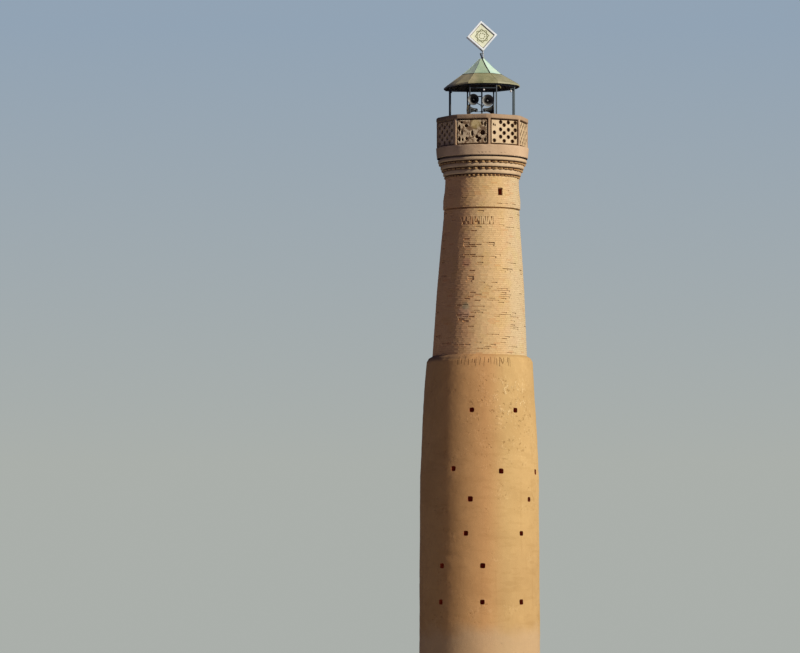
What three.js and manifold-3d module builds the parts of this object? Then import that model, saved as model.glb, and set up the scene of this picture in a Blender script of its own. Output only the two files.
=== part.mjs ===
// A tall round minaret of brick, in millimetres, with +Z up and the ground at Z = 0.
// The side with the two best lit parapet panels faces -Y, and +X is to the right of it.
// Azimuths are in degrees: 0 faces -Y, 90 faces +X.
import * as THREE from 'three';
import { mergeVertices } from 'three/addons/utils/BufferGeometryUtils.js';
import Module from 'manifold-3d';

const wasm = await Module();
wasm.setup();

// Heights of the stages, from the ground up.
const FOOT_TOP = 2430;
const PLASTER_TOP = 11530;
const NECK_BOTTOM = 16420;
const CORNICE_BOTTOM = 17450;
const FLOOR_BOTTOM = 18115;
const FLOOR_TOP = 18460;
const COPING_BOTTOM = 19330;
const COPING_TOP = 19480;

// The stair well runs up the middle with one radius. The tower leans to the right from LEAN_START up,
// and the pavilion stands a little to the left of the gallery's middle.
const WELL_RADIUS = 850;
const LEAN_START = 10640;
const LEAN_AT_TOP = 110;
const PAVILION_X = 95;
const FACET_ANGLE = 7.5;
const JOINT_GAP = 0.3;

// Outer radius and height of each stage, at the points where its slope changes.
const FOOT_OUTLINE = [[2000, 0], [1992, FOOT_TOP]];
const PLASTER_OUTLINE = [[1992, FOOT_TOP], [1968, 7500], [1880, 9500], [1765, 11330], [1700, 11450],
  [1567, PLASTER_TOP]];
const GROOVE = { bottom: NECK_BOTTOM - 55, radius: 1200 };
const BRICK_OUTLINE = [[1567, PLASTER_TOP], [1515, 12500], [1450, 13700], [1362, 14900], [1262, 16100],
  [1257, GROOVE.bottom], [GROOVE.radius, GROOVE.bottom], [GROOVE.radius, NECK_BOTTOM],
  [1285, NECK_BOTTOM], [1281, 16700], [1256, 16900], [1232, 17100], [1222, CORNICE_BOTTOM]];

// The doorway is on the far side, which is not seen.
const DOORWAY = { azimuth: 180, width: 760, top: 1950, headTop: 2600, from: 300, to: 2200 };
const BASE_FLOOR = { top: 120, end: 1950 };

// Scaffold sockets in the plastered stage: each row and its azimuths on the seen side.
const SOCKET = { size: 170, depth: 400 };
const SOCKET_ROWS = [
  { height: 9680, azimuths: [-7.6, 39.3, 90] },
  { height: 7760, azimuths: [-25.8] },
  { height: 7675, azimuths: [21.4, 69.9] },
  { height: 6760, azimuths: [-8.8, 55.9] },
  { height: 5640, azimuths: [-13.1, 44.1] },
  { height: 4580, azimuths: [-38.2, 3.0] },
  { height: 3395, azimuths: [-39.8, 2.6, 43.6] },
];
const LIGHT_SLOT = { azimuth: 29, height: 16920, width: 150, tall: 205 };

// Cornice rings: a course of triangular teeth with a plain band on it. The top band ends in a throat,
// which stands back under the gallery floor.
const TOOTH_HEIGHT = 80;
const TOOTH_OVERLAP = 2;
const TOOTH_SETBACK = 20;
const THROAT = { height: 45, radius: 1425 };
const CORNICE_RINGS = [
  { name: 'cornice_ring_lower', bottom: CORNICE_BOTTOM, top: 17670, radius: 1300, teeth: 54, bite: 50 },
  { name: 'cornice_ring_middle', bottom: 17670, top: 17880, radius: 1392, teeth: 38, bite: 65 },
  { name: 'cornice_ring_upper', bottom: 17880, top: FLOOR_BOTTOM, radius: 1483, teeth: 41, bite: 65 },
];

// Gallery floor with the stair hatch behind the mast.
const FLOOR_OUTLINE = [[1512, FLOOR_BOTTOM], [1543, FLOOR_TOP]];
const HATCH = { left: -300, right: 300, front: 160, back: 680 };

// Eight-sided parapet: corner piers under a coping, with a panel full of deep holes in each bay. The
// coping's corners are cut off, up to cornerTurn degrees on either side.
const SIDES = 8;
const PARAPET_PHASE = 8.5;
const PARAPET_RADIUS = 1572;
const PIER = { width: 86, depth: 112, setback: 40 };
const COPING = { outer: 1577, inner: 1375, bevel: 35, cornerTurn: 3.5 };
const PANEL = { halfWidth: 480, setback: 40, field: 50, border: 45, margin: 55 };
const PANEL_HOLE = { width: 122, height: 126, depth: 75 };
const PANEL_ROWS = [{ first: 140, pitch: 259 }, { first: 273, pitch: 238 }];
const PANEL_COLUMNS = [-400, -240, -85, 70, 225, 380];
const PANELS = [
  { name: 'parapet_panel_front_left', bay: -1, holes: [
    [-430, 559, 84, 200], [-340, 412, 66, 190], [-198, 630, 120, 100], [-352, 745, 84, 76],
    [-428, 196, 88, 140], [-322, 178, 60, 105], [-189, 214, 84, 105], [-2, 380, 78, 185],
    [150, 262, 108, 108], [235, 202, 125, 118], [182, 136, 100, 86], [345, 392, 155, 160],
    [428, 165, 84, 125], [322, 705, 56, 105], [424, 668, 66, 140],
  ] },
  { name: 'parapet_panel_front_right', bay: 0, columns: [-374, -141, -6, 152, 306, 412], filled: [[0, 2]],
    small: [[-408, 664, 42, 84], [-346, 640, 42, 70]] },
  { name: 'parapet_panel_right_front', bay: 1, columns: PANEL_COLUMNS },
  { name: 'parapet_panel_right_rear', bay: 2, columns: PANEL_COLUMNS },
  { name: 'parapet_panel_rear_right', bay: 3, columns: PANEL_COLUMNS },
  { name: 'parapet_panel_rear_left', bay: 4, columns: PANEL_COLUMNS },
  { name: 'parapet_panel_left_rear', bay: 5, columns: PANEL_COLUMNS },
  { name: 'parapet_panel_left_front', bay: 6, columns: PANEL_COLUMNS },
];

// Steel pavilion: posts, an eave beam and a rail in the front bay, under a roof of two slopes.
// The eave is bent down on its left side.
const PAVILION_PHASE = 24.7;
const POST = { circle: 1150, radius: 24 };
const EAVE_BEAM = { bottom: 20490, top: 20530, half: 20 };
const FRONT_RAIL = { bottom: 20368, top: 20398, half: 12 };
const SHEET = 25;
const EAVE = {
  radius: 1290, height: 20575, fascia: 50, lip: 20, rounding: 0.8, leftBend: -85, rightBend: 10,
};
const BREAK = { radius: 705, height: 20925, inner: 660 };
const CAP = { middle: [385, 21190], top: [90, 21480], crown: 60, sheet: 20 };

// The underside of the lower slope, which runs out by SKIRT_RUN for each unit it falls.
const SKIRT_RUN = (EAVE.radius - BREAK.radius) / (BREAK.height - EAVE.height);
const SKIRT = {
  innerRadius: BREAK.radius - SHEET * SKIRT_RUN,
  lowUnderside: EAVE.height - SHEET + EAVE.lip / SKIRT_RUN,
};

// Sign on its pole, turned to the right and tilted to the left.
const SIGN_FOOT = [150, 0, CAP.top[1]];
const SIGN_TILT = -4.4;
const SIGN_TURN = 6.6;
const SIGN = { centre: 760, side: 715, border: 57, depth: 300, recess: 32, sheet: 10 };
const POLE_RADIUS = 22;

// Loudspeaker horns on a mast in the middle of the gallery.
const MAST = { radius: 25, top: 20820 };
const ARM = { width: 40, thickness: 12 };
const HORN = { throat: 62, bell: 215, wall: 7, driver: 55, driverLength: 110, core: 45 };
const HORNS = [
  { name: 'horn_front_left', x: -188, y: -1290, height: 19970, azimuth: -14, mouth: 190 },
  { name: 'horn_front_right', x: 300, y: -1290, height: 19935, azimuth: 12, mouth: 200 },
  { name: 'horn_lower_left', x: -360, y: -60, height: 19770, azimuth: -70, mouth: 172 },
  { name: 'horn_lower_right', x: 460, y: 60, height: 19770, azimuth: 105, mouth: 172 },
];

const COLOURS = {
  plaster: 0xcda36a, brick: 0xc9a878, drum: 0xd6b98c, steel: 0x6f7a70, roof: 0x8f8f5c, cap: 0xa9bf95,
  sign: 0xe8e8e2, face: 0xe4dfba, horn: 0xb9bdb6,
};

const radians = THREE.MathUtils.degToRad;

function leanAt(height) {
  const rise = (height - LEAN_START) / (FLOOR_BOTTOM - LEAN_START);
  return LEAN_AT_TOP * Math.min(Math.max(rise, 0), 1);
}

function outwards(azimuth) {
  return [Math.sin(radians(azimuth)), -Math.cos(radians(azimuth))];
}

// Turns a triangle mesh into a solid that can be cut and joined.
function toSolid(geometry) {
  const bare = geometry.index ? geometry.toNonIndexed() : geometry.clone();
  for (const name of Object.keys(bare.attributes)) {
    if (name !== 'position') bare.deleteAttribute(name);
  }
  const merged = mergeVertices(bare, 1e-4);
  const corners = merged.index.array;
  const kept = [];
  for (let i = 0; i < corners.length; i += 3) {
    const [a, b, c] = corners.slice(i, i + 3);
    if (a !== b && b !== c && c !== a) kept.push(a, b, c);
  }
  return new wasm.Manifold(new wasm.Mesh({
    numProp: 3,
    vertProperties: new Float32Array(merged.attributes.position.array),
    triVerts: new Uint32Array(kept),
  }));
}

function toGeometry(solid) {
  const mesh = solid.getMesh();
  const geometry = new THREE.BufferGeometry();
  geometry.setAttribute('position', new THREE.BufferAttribute(new Float32Array(mesh.vertProperties), 3));
  geometry.setIndex(new THREE.BufferAttribute(new Uint32Array(mesh.triVerts), 1));
  const faceted = geometry.toNonIndexed();
  faceted.computeVertexNormals();
  return faceted;
}

function onTower(azimuth, radius, height) {
  const [x, y] = outwards(azimuth);
  return [radius * x + leanAt(height), radius * y, height];
}

// A point of the roof. Half-way between two corners the break is flat and the eave is rounded.
function onRoof(azimuth, radius, height) {
  const [x, y] = outwards(azimuth);
  const turn = 360 / SIDES;
  const isCorner = Math.round(2 * (azimuth - PAVILION_PHASE) / turn) % 2 === 0;
  const flat = isCorner ? 1 : Math.cos(radians(turn / 2));
  const out = THREE.MathUtils.clamp((radius - BREAK.radius) / (EAVE.radius - BREAK.radius), 0, 1);
  const reach = radius * THREE.MathUtils.lerp(flat, 1, out * EAVE.rounding);
  const bend = (x < 0 ? EAVE.leftBend : EAVE.rightBend) * x * x * out;
  return [reach * x + PAVILION_X, reach * y, height + bend];
}

// Sweeps a closed section of [radius, height] points round the axis, counter-clockwise in the section.
function sweep(section, azimuths, closed, place = onTower) {
  const positions = [];
  for (const azimuth of azimuths) {
    for (const [radius, height] of section) positions.push(...place(azimuth, radius, height));
  }
  const count = section.length;
  const turns = closed ? azimuths.length : azimuths.length - 1;
  const faces = [];
  for (let turn = 0; turn < turns; turn += 1) {
    const here = turn * count;
    const next = ((turn + 1) % azimuths.length) * count;
    for (let point = 0; point < count; point += 1) {
      const following = (point + 1) % count;
      faces.push(here + point, next + point, next + following);
      faces.push(here + point, next + following, here + following);
    }
  }
  if (!closed) {
    const outline = section.map(([radius, height]) => new THREE.Vector2(radius, height));
    const last = (azimuths.length - 1) * count;
    for (const [a, b, c] of THREE.ShapeUtils.triangulateShape(outline, [])) {
      faces.push(a, b, c, last + c, last + b, last + a);
    }
  }
  const geometry = new THREE.BufferGeometry();
  geometry.setAttribute('position', new THREE.Float32BufferAttribute(positions, 3));
  geometry.setIndex(faces);
  return toSolid(geometry);
}

function fullTurn(step, phase = 0) {
  return Array.from({ length: Math.round(360 / step) }, (_, i) => phase + i * step);
}

// Azimuths of one wall segment, with half a joint gap left at both ends.
function segmentTurn(from, to, radius) {
  const gap = THREE.MathUtils.radToDeg(JOINT_GAP / 2 / radius);
  const inner = [];
  for (let azimuth = from + FACET_ANGLE; azimuth < to - 0.01; azimuth += FACET_ANGLE) inner.push(azimuth);
  return [from + gap, ...inner, to - gap];
}

// Wall section between the stair well and an outline of [radius, height] points.
function wallSection(outline) {
  const heights = outline.map(([, height]) => height);
  const inside = [...new Set(heights)].reverse().map((height) => [WELL_RADIUS, height]);
  return [...outline, ...inside];
}

function wallSegment(outline, from, to) {
  return sweep(wallSection(outline), segmentTurn(from, to, WELL_RADIUS), false);
}

function radiusAt(outline, height) {
  for (let i = 1; i < outline.length; i += 1) {
    const [lowRadius, low] = outline[i - 1];
    const [highRadius, high] = outline[i];
    if (height <= high && high > low) {
      return THREE.MathUtils.mapLinear(height, low, high, lowRadius, highRadius);
    }
  }
  return outline[outline.length - 1][0];
}

// A straight block that lies along an azimuth, from one radius to another.
function radialBlock({ azimuth, from, to, width, bottom, top, x = 0 }) {
  const block = new THREE.BoxGeometry(width, to - from, top - bottom);
  block.translate(0, -(from + to) / 2, (bottom + top) / 2);
  block.rotateZ(radians(azimuth));
  block.translate(x, 0, 0);
  return toSolid(block);
}

function prism(points, bottom, top) {
  const shape = new THREE.Shape(points.map(([x, y]) => new THREE.Vector2(x, y)));
  const geometry = new THREE.ExtrudeGeometry(shape, { depth: top - bottom, bevelEnabled: false });
  geometry.translate(0, 0, bottom);
  return toSolid(geometry);
}

function circlePoints(radius, step, phase = 0) {
  return fullTurn(step, phase).map((azimuth) => outwards(azimuth).map((part) => part * radius));
}

function joined(solids) {
  return solids.reduce((whole, solid) => whole.add(solid));
}

function without(solid, cutters) {
  return cutters.reduce((rest, cutter) => rest.subtract(cutter), solid);
}

const group = new THREE.Group();
group.name = 'minaret';

function addNode(name, solid, colour, metalness = 0) {
  const material = new THREE.MeshStandardMaterial({ color: colour, roughness: 0.85, metalness });
  const mesh = new THREE.Mesh(toGeometry(solid), material);
  mesh.name = name;
  group.add(mesh);
}

function addBaseFloor() {
  const disc = prism(circlePoints(WELL_RADIUS - JOINT_GAP, FACET_ANGLE), 0, BASE_FLOOR.top);
  const half = DOORWAY.width / 2 - JOINT_GAP;
  const { top, end } = BASE_FLOOR;
  const passage = prism([[-half, 0], [half, 0], [half, end], [-half, end]], 0, top);
  addNode('base_floor', disc.add(passage), COLOURS.brick);
}

function addFootWalls() {
  const { azimuth, from, to, width, top, headTop } = DOORWAY;
  const slot = radialBlock({ azimuth, from, to, width, bottom: -10, top: headTop });
  const lintel = radialBlock({ azimuth, from, to, width: width - 2 * JOINT_GAP, bottom: top, top: headTop });
  addNode('foot_wall_front', wallSegment(FOOT_OUTLINE, -45, 45), COLOURS.plaster);
  addNode('foot_wall_right', wallSegment(FOOT_OUTLINE, 45, 135), COLOURS.plaster);
  addNode('foot_wall_left', wallSegment(FOOT_OUTLINE, 225, 315), COLOURS.plaster);
  addNode('foot_wall_rear_right', wallSegment(FOOT_OUTLINE, 135, 180).subtract(slot), COLOURS.plaster);
  addNode('foot_wall_rear_left', wallSegment(FOOT_OUTLINE, 180, 225).subtract(slot), COLOURS.plaster);
  addNode('door_head', wallSegment(FOOT_OUTLINE, 157.5, 202.5).intersect(lintel), COLOURS.plaster);
}

function socketCutters() {
  const cutters = [];
  for (const { height, azimuths } of SOCKET_ROWS) {
    const face = radiusAt(PLASTER_OUTLINE, height);
    for (const azimuth of azimuths.flatMap((seen) => [seen, seen + 180])) {
      cutters.push(radialBlock({
        azimuth, from: face - SOCKET.depth, to: face + 60, width: SOCKET.size,
        bottom: height - SOCKET.size / 2, top: height + SOCKET.size / 2,
      }));
    }
  }
  return cutters;
}

function addPlasterWalls() {
  const cutters = socketCutters();
  const segments = { front: -60, right: 30, rear: 120, left: 210 };
  for (const [side, from] of Object.entries(segments)) {
    const wall = wallSegment(PLASTER_OUTLINE, from, from + 90);
    addNode(`plaster_wall_${side}`, without(wall, cutters), COLOURS.plaster);
  }
}

// The light slot parts the neck's front into a wall on either side of it and a lintel over it.
function addBrickWalls() {
  for (const [side, from] of Object.entries({ right: 45, rear: 135, left: 225 })) {
    addNode(`brick_wall_${side}`, wallSegment(BRICK_OUTLINE, from, from + 90), COLOURS.brick);
  }
  const { azimuth, height, width, tall } = LIGHT_SLOT;
  const sill = height - tall / 2;
  const across = [Math.cos(radians(azimuth)), Math.sin(radians(azimuth)), 0];
  const back = across.map((part) => -part);
  const middle = across[0] * leanAt(height);
  const front = wallSegment(BRICK_OUTLINE, -45, 45);
  const aboveSill = front.trimByPlane([0, 0, 1], sill + JOINT_GAP);
  const overSlot = aboveSill.trimByPlane([0, 0, 1], height + tall / 2);
  const lintelHalf = width / 2 - JOINT_GAP;
  const lintel = overSlot.trimByPlane(across, middle - lintelHalf).trimByPlane(back, -middle - lintelHalf);
  addNode('brick_wall_front', front.trimByPlane([0, 0, -1], -sill), COLOURS.brick);
  addNode('slot_wall_left', aboveSill.trimByPlane(back, width / 2 - middle), COLOURS.brick);
  addNode('slot_wall_right', aboveSill.trimByPlane(across, width / 2 + middle), COLOURS.brick);
  addNode('slot_lintel', lintel, COLOURS.brick);
}

function toothPoints(radius, teeth, bite) {
  const points = [];
  for (let i = 0; i < teeth; i += 1) {
    const tip = outwards((i * 360) / teeth);
    const valley = outwards(((i + 0.5) * 360) / teeth);
    points.push(tip.map((part) => part * radius), valley.map((part) => part * (radius - bite)));
  }
  return points;
}

function addCorniceRings() {
  for (const { name, bottom, top, radius, teeth, bite } of CORNICE_RINGS) {
    const middle = bottom + TOOTH_HEIGHT;
    const bandTop = top === FLOOR_BOTTOM ? top - THROAT.height : top;
    const band = prism(circlePoints(radius, FACET_ANGLE), middle, bandTop);
    const core = prism(circlePoints(Math.min(radius, THROAT.radius), FACET_ANGLE), middle, top);
    const course = prism(toothPoints(radius - TOOTH_SETBACK, teeth, bite), bottom, middle + TOOTH_OVERLAP);
    const well = prism(circlePoints(WELL_RADIUS, FACET_ANGLE), bottom - 10, top + 10);
    const ring = joined([band, core, course]).subtract(well);
    addNode(name, ring.translate(LEAN_AT_TOP, 0, 0), COLOURS.brick);
  }
}

function addGalleryFloor() {
  const [[lowRadius, low], [highRadius, high]] = FLOOR_OUTLINE;
  const section = [[0, low], [lowRadius, low], [highRadius, high], [0, high]];
  const slab = sweep(section, fullTurn(FACET_ANGLE), true);
  const { left, right, front, back } = HATCH;
  const hatch = prism([[left, front], [right, front], [right, back], [left, back]], low - 10, high + 10);
  addNode('gallery_floor', slab.subtract(hatch.translate(LEAN_AT_TOP, 0, 0)), COLOURS.drum);
}

function addParapetFrame() {
  const { outer, inner, bevel, cornerTurn } = COPING;
  const section = [[inner, COPING_BOTTOM], [outer, COPING_BOTTOM], [outer, COPING_TOP - bevel],
    [outer - bevel, COPING_TOP], [inner, COPING_TOP]];
  const corners = fullTurn(360 / SIDES, PARAPET_PHASE);
  const onSide = Math.cos(Math.PI / SIDES) / Math.cos(Math.PI / SIDES - radians(cornerTurn));
  const turns = corners.flatMap((corner) => [corner - cornerTurn, corner + cornerTurn]);
  const place = (azimuth, radius, height) => onTower(azimuth, radius * onSide, height);
  const coping = sweep(section, turns, true, place);
  const piers = corners.map((azimuth) => radialBlock({
    azimuth, from: PARAPET_RADIUS - PIER.depth, to: PARAPET_RADIUS - PIER.setback, width: PIER.width,
    bottom: FLOOR_TOP, top: COPING_BOTTOM + TOOTH_OVERLAP, x: LEAN_AT_TOP,
  }));
  addNode('parapet_frame', joined([coping, ...piers]), COLOURS.drum);
}

// The holes of a panel as [across, height above its foot, width, height], in staggered columns. A filled
// hole is left out, and a panel can have small holes besides.
function panelHoles({ holes, columns, filled = [], small = [] }) {
  if (holes) return holes;
  const open = columns.flatMap((x, column) => {
    const { first, pitch } = PANEL_ROWS[column % 2];
    return [0, 1, 2].filter((row) => !filled.some(([at, index]) => at === column && index === row))
      .map((row) => [x, first + row * pitch, PANEL_HOLE.width, PANEL_HOLE.height]);
  });
  return [...open, ...small];
}

// Eight-sided hole, centred on a point of the panel's face.
function panelHole(x, height, width, tall) {
  const shape = new THREE.Shape(fullTurn(360 / SIDES, 180 / SIDES).map((angle) => {
    const [across, up] = outwards(angle).map((part) => part / 2 / Math.cos(Math.PI / SIDES));
    return new THREE.Vector2(x + across * width, height + up * tall);
  }));
  const geometry = new THREE.ExtrudeGeometry(shape, { depth: 400, bevelEnabled: false });
  geometry.rotateX(Math.PI / 2);
  return geometry;
}

function addParapetPanels() {
  const turn = 360 / SIDES;
  const apothem = PARAPET_RADIUS * Math.cos(radians(turn / 2));
  const halfBay = PARAPET_RADIUS * Math.sin(radians(turn / 2)) - PIER.width / 2;
  const face = apothem - PANEL.setback;
  const bottom = FLOOR_TOP;
  const top = COPING_BOTTOM - JOINT_GAP;
  for (const panel of PANELS) {
    const azimuth = PARAPET_PHASE + turn * (panel.bay + 0.5);
    const back = face - PANEL.field - PANEL.border;
    const plate = radialBlock({
      azimuth, from: back, to: back + PANEL.border, width: 2 * (halfBay - 13), bottom, top, x: LEAN_AT_TOP,
    });
    const field = radialBlock({
      azimuth, from: back + PANEL.border - 1, to: face, width: 2 * PANEL.halfWidth,
      bottom: bottom + PANEL.margin, top: top - PANEL.margin, x: LEAN_AT_TOP,
    });
    const cutters = [-0.5, 0.5].map((side) => radialBlock({
      azimuth: azimuth + side * turn, from: WELL_RADIUS, to: COPING.outer, width: PIER.width + 2 * JOINT_GAP,
      bottom: bottom - 10, top: top + 10, x: LEAN_AT_TOP,
    }));
    for (const [x, height, width, tall] of panelHoles(panel)) {
      const hole = panelHole(x, bottom + height, width, tall);
      hole.translate(0, PANEL_HOLE.depth - face, 0);
      hole.rotateZ(radians(azimuth));
      hole.translate(LEAN_AT_TOP, 0, 0);
      cutters.push(toSolid(hole));
    }
    addNode(panel.name, without(plate.add(field), cutters), COLOURS.drum);
  }
}

function roofTurn() {
  return fullTurn(180 / SIDES, PAVILION_PHASE);
}

// A ring from the underside of the lower slope up to an outer line of [radius, height] points.
function onSkirtUnderside(outerLine) {
  const lipFoot = EAVE.height - EAVE.fascia;
  const within = EAVE.radius - EAVE.lip;
  const underside = [[SKIRT.innerRadius, BREAK.height], [within, SKIRT.lowUnderside], [within, lipFoot]];
  return sweep([[EAVE.radius, lipFoot], ...outerLine, ...underside], roofTurn(), true, onRoof);
}

function addPavilionFrame() {
  const corners = fullTurn(360 / SIDES, PAVILION_PHASE);
  const posts = corners.map((azimuth) => {
    const [x, y] = outwards(azimuth).map((part) => part * POST.circle);
    return prism(circlePoints(POST.radius, 30), FLOOR_TOP, BREAK.height).translate(x, y, 0);
  });
  const { bottom, top, half } = EAVE_BEAM;
  const outer = prism(circlePoints(POST.circle + half, 360 / SIDES, PAVILION_PHASE), bottom, top);
  const inner = prism(circlePoints(POST.circle - half, 360 / SIDES, PAVILION_PHASE), bottom - 10, top + 10);
  const apothem = POST.circle * Math.cos(Math.PI / SIDES);
  const rail = radialBlock({
    azimuth: PAVILION_PHASE - 180 / SIDES, from: apothem - FRONT_RAIL.half, to: apothem + FRONT_RAIL.half,
    width: 2 * POST.circle * Math.sin(Math.PI / SIDES), bottom: FRONT_RAIL.bottom, top: FRONT_RAIL.top,
  });
  const frame = joined([outer.subtract(inner), rail, ...posts]).translate(PAVILION_X, 0, 0);
  const above = onSkirtUnderside([[EAVE.radius, CAP.top[1]], [SKIRT.innerRadius, CAP.top[1]]]);
  addNode('pavilion_frame', frame.subtract(above.translate(0, 0, -JOINT_GAP)), COLOURS.steel, 0.3);
}

function addRoof() {
  const skirt = onSkirtUnderside([[EAVE.radius, EAVE.height], [BREAK.radius, BREAK.height]]);
  addNode('roof_skirt', skirt, COLOURS.roof, 0.3);
  const [middleRadius, middle] = CAP.middle;
  const [topRadius, top] = CAP.top;
  const { crown, sheet } = CAP;
  const outside = [[BREAK.radius, BREAK.height], [middleRadius, middle], [topRadius, top], [0, top]];
  const inside = [[0, top - crown], [topRadius - sheet, top - crown],
    [middleRadius - 2 * sheet, middle - sheet], [BREAK.inner, BREAK.height]];
  const cap = [...outside, ...inside];
  addNode('roof_cap', sweep(cap, roofTurn(), true, onRoof), COLOURS.cap, 0.3);
}

// Moves something built upright over the pole's foot to its tilted and turned place.
function onPole(solid) {
  const [x, y, z] = SIGN_FOOT;
  return solid.rotate([0, 0, SIGN_TURN]).rotate([0, SIGN_TILT, 0]).translate(x, y, z);
}

function diamond(side, depth, y) {
  const block = new THREE.BoxGeometry(side, depth, side);
  block.rotateY(Math.PI / 4);
  block.translate(0, y, SIGN.centre);
  return toSolid(block);
}

function addSign() {
  const open = SIGN.side - 2 * SIGN.border;
  const frame = diamond(SIGN.side, SIGN.depth, 0).subtract(diamond(open, SIGN.depth + 20, 0));
  addNode('sign_frame', onPole(frame), COLOURS.sign, 0.2);
  const face = SIGN.depth / 2 - SIGN.recess - SIGN.sheet / 2;
  for (const [side, y] of [['front', -face], ['rear', face]]) {
    addNode(`sign_panel_${side}`, onPole(diamond(open - 2 * JOINT_GAP, SIGN.sheet, y)), COLOURS.face);
  }
  const pole = prism(circlePoints(POLE_RADIUS, 30), -40, SIGN.centre);
  const saddle = diamond(SIGN.side + 24, 90, 0).intersect(toSolid(
    new THREE.BoxGeometry(150, 90, 150).translate(0, 0, SIGN.centre - SIGN.side * Math.SQRT1_2 + 20)));
  const room = diamond(SIGN.side + 2 * JOINT_GAP, SIGN.depth + 40, 0);
  const upright = onPole(joined([pole, saddle]).subtract(room));
  const above = prism([[-500, -500], [500, -500], [500, 500], [-500, 500]], CAP.top[1] + JOINT_GAP, 23000);
  addNode('finial_pole', upright.intersect(above), COLOURS.steel, 0.3);
}

function hornSolid(mouth) {
  const { throat, bell, wall, driver, driverLength, core } = HORN;
  const back = bell + driverLength;
  const section = [[0, back], [driver, back], [driver, bell], [throat, bell], [throat + 30, bell * 0.5],
    [mouth, 0], [mouth - wall, 0], [throat + 18, bell * 0.5], [throat - wall, bell - 12], [core, bell - 12],
    [core * 0.7, 60], [0, 52]];
  const points = section.reverse().map(([radius, along]) => new THREE.Vector2(radius, along));
  const geometry = new THREE.LatheGeometry(points, 24);
  return toSolid(geometry);
}

function addHorns() {
  const arms = [];
  for (const { name, x, y, height, azimuth, mouth } of HORNS) {
    const horn = hornSolid(mouth).rotate([0, 0, azimuth]).translate(x, y, height);
    addNode(name, horn, COLOURS.horn, 0.3);
    const [outX, outY] = outwards(azimuth);
    const behind = HORN.bell + HORN.driverLength * 0.5;
    const end = new THREE.Vector2(x - outX * behind, y - outY * behind);
    const start = new THREE.Vector2(PAVILION_X, 0);
    const run = end.clone().sub(start);
    const arm = new THREE.BoxGeometry(run.length() + ARM.width, ARM.width, ARM.thickness);
    const level = height - HORN.driver - JOINT_GAP - ARM.thickness / 2;
    arm.rotateZ(run.angle());
    arm.translate((start.x + end.x) / 2, (start.y + end.y) / 2, level);
    arms.push(toSolid(arm));
  }
  const mast = prism(circlePoints(MAST.radius, 30), FLOOR_TOP, MAST.top).translate(PAVILION_X, 0, 0);
  addNode('horn_mast', joined([mast, ...arms]), COLOURS.steel, 0.3);
}

addBaseFloor();
addFootWalls();
addPlasterWalls();
addBrickWalls();
addCorniceRings();
addGalleryFloor();
addParapetFrame();
addParapetPanels();
addPavilionFrame();
addRoof();
addSign();
addHorns();

export default group;
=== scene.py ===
import math
import random

import bpy
from mathutils import Euler, Matrix, Vector, noise


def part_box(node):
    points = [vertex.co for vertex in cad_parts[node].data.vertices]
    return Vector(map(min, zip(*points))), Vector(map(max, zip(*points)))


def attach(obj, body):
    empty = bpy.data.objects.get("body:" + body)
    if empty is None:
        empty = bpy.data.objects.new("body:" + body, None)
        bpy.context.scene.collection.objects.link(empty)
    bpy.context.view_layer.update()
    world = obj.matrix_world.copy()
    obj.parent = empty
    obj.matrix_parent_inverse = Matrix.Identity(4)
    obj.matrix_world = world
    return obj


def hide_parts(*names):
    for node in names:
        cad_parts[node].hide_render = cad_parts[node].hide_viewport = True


bl_info = {
    "name": "Round brick minaret",
    "version": (1, 0, 0),
    "blender": (4, 5, 0),
    "location": "View3D > Sidebar > Minaret",
    "description": "Dresses the frame of a tall brick minaret with plaster, bricks and painted steel",
    "category": "Object",
}

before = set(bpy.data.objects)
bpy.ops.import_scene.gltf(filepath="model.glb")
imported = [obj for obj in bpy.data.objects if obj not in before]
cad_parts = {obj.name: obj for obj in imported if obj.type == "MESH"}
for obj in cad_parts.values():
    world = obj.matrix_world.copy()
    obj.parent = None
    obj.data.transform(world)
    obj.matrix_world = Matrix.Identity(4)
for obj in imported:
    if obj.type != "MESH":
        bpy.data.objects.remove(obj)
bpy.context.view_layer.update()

# Heights in metres, read from the frame.
FOOT_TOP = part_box("foot_wall_front")[1].z
PLASTER_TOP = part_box("plaster_wall_front")[1].z
CORNICE_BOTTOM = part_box("brick_wall_right")[1].z
FLOOR_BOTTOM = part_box("gallery_floor")[0].z
FLOOR_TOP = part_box("gallery_floor")[1].z
COPING_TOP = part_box("parapet_frame")[1].z
BREAK_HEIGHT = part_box("roof_skirt")[1].z
CAP_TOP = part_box("roof_cap")[1].z

# The tower leans to the right from LEAN_START up to the cornice, and the well keeps one radius.
LEAN_START = 10.64
LEAN_AT_TOP = 0.11
WELL_RADIUS = 0.85

# Outer radius and height of the walls, where their slope changes.
PLASTER_OUTLINE = [(2.0, 0), (1.992, FOOT_TOP), (1.968, 7.5), (1.88, 9.5), (1.765, 11.33),
                   (1.70, 11.45), (1.567, PLASTER_TOP)]
NECK_BOTTOM = 16.42
GROOVE_BOTTOM = NECK_BOTTOM - 0.055
GROOVE_RADIUS = 1.2
SHAFT_OUTLINE = [(1.567, PLASTER_TOP), (1.515, 12.5), (1.45, 13.7), (1.362, 14.9), (1.262, 16.1),
                 (1.257, GROOVE_BOTTOM)]
NECK_OUTLINE = [(1.285, NECK_BOTTOM), (1.281, 16.7), (1.256, 16.9), (1.232, 17.1), (1.222, CORNICE_BOTTOM)]

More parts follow.
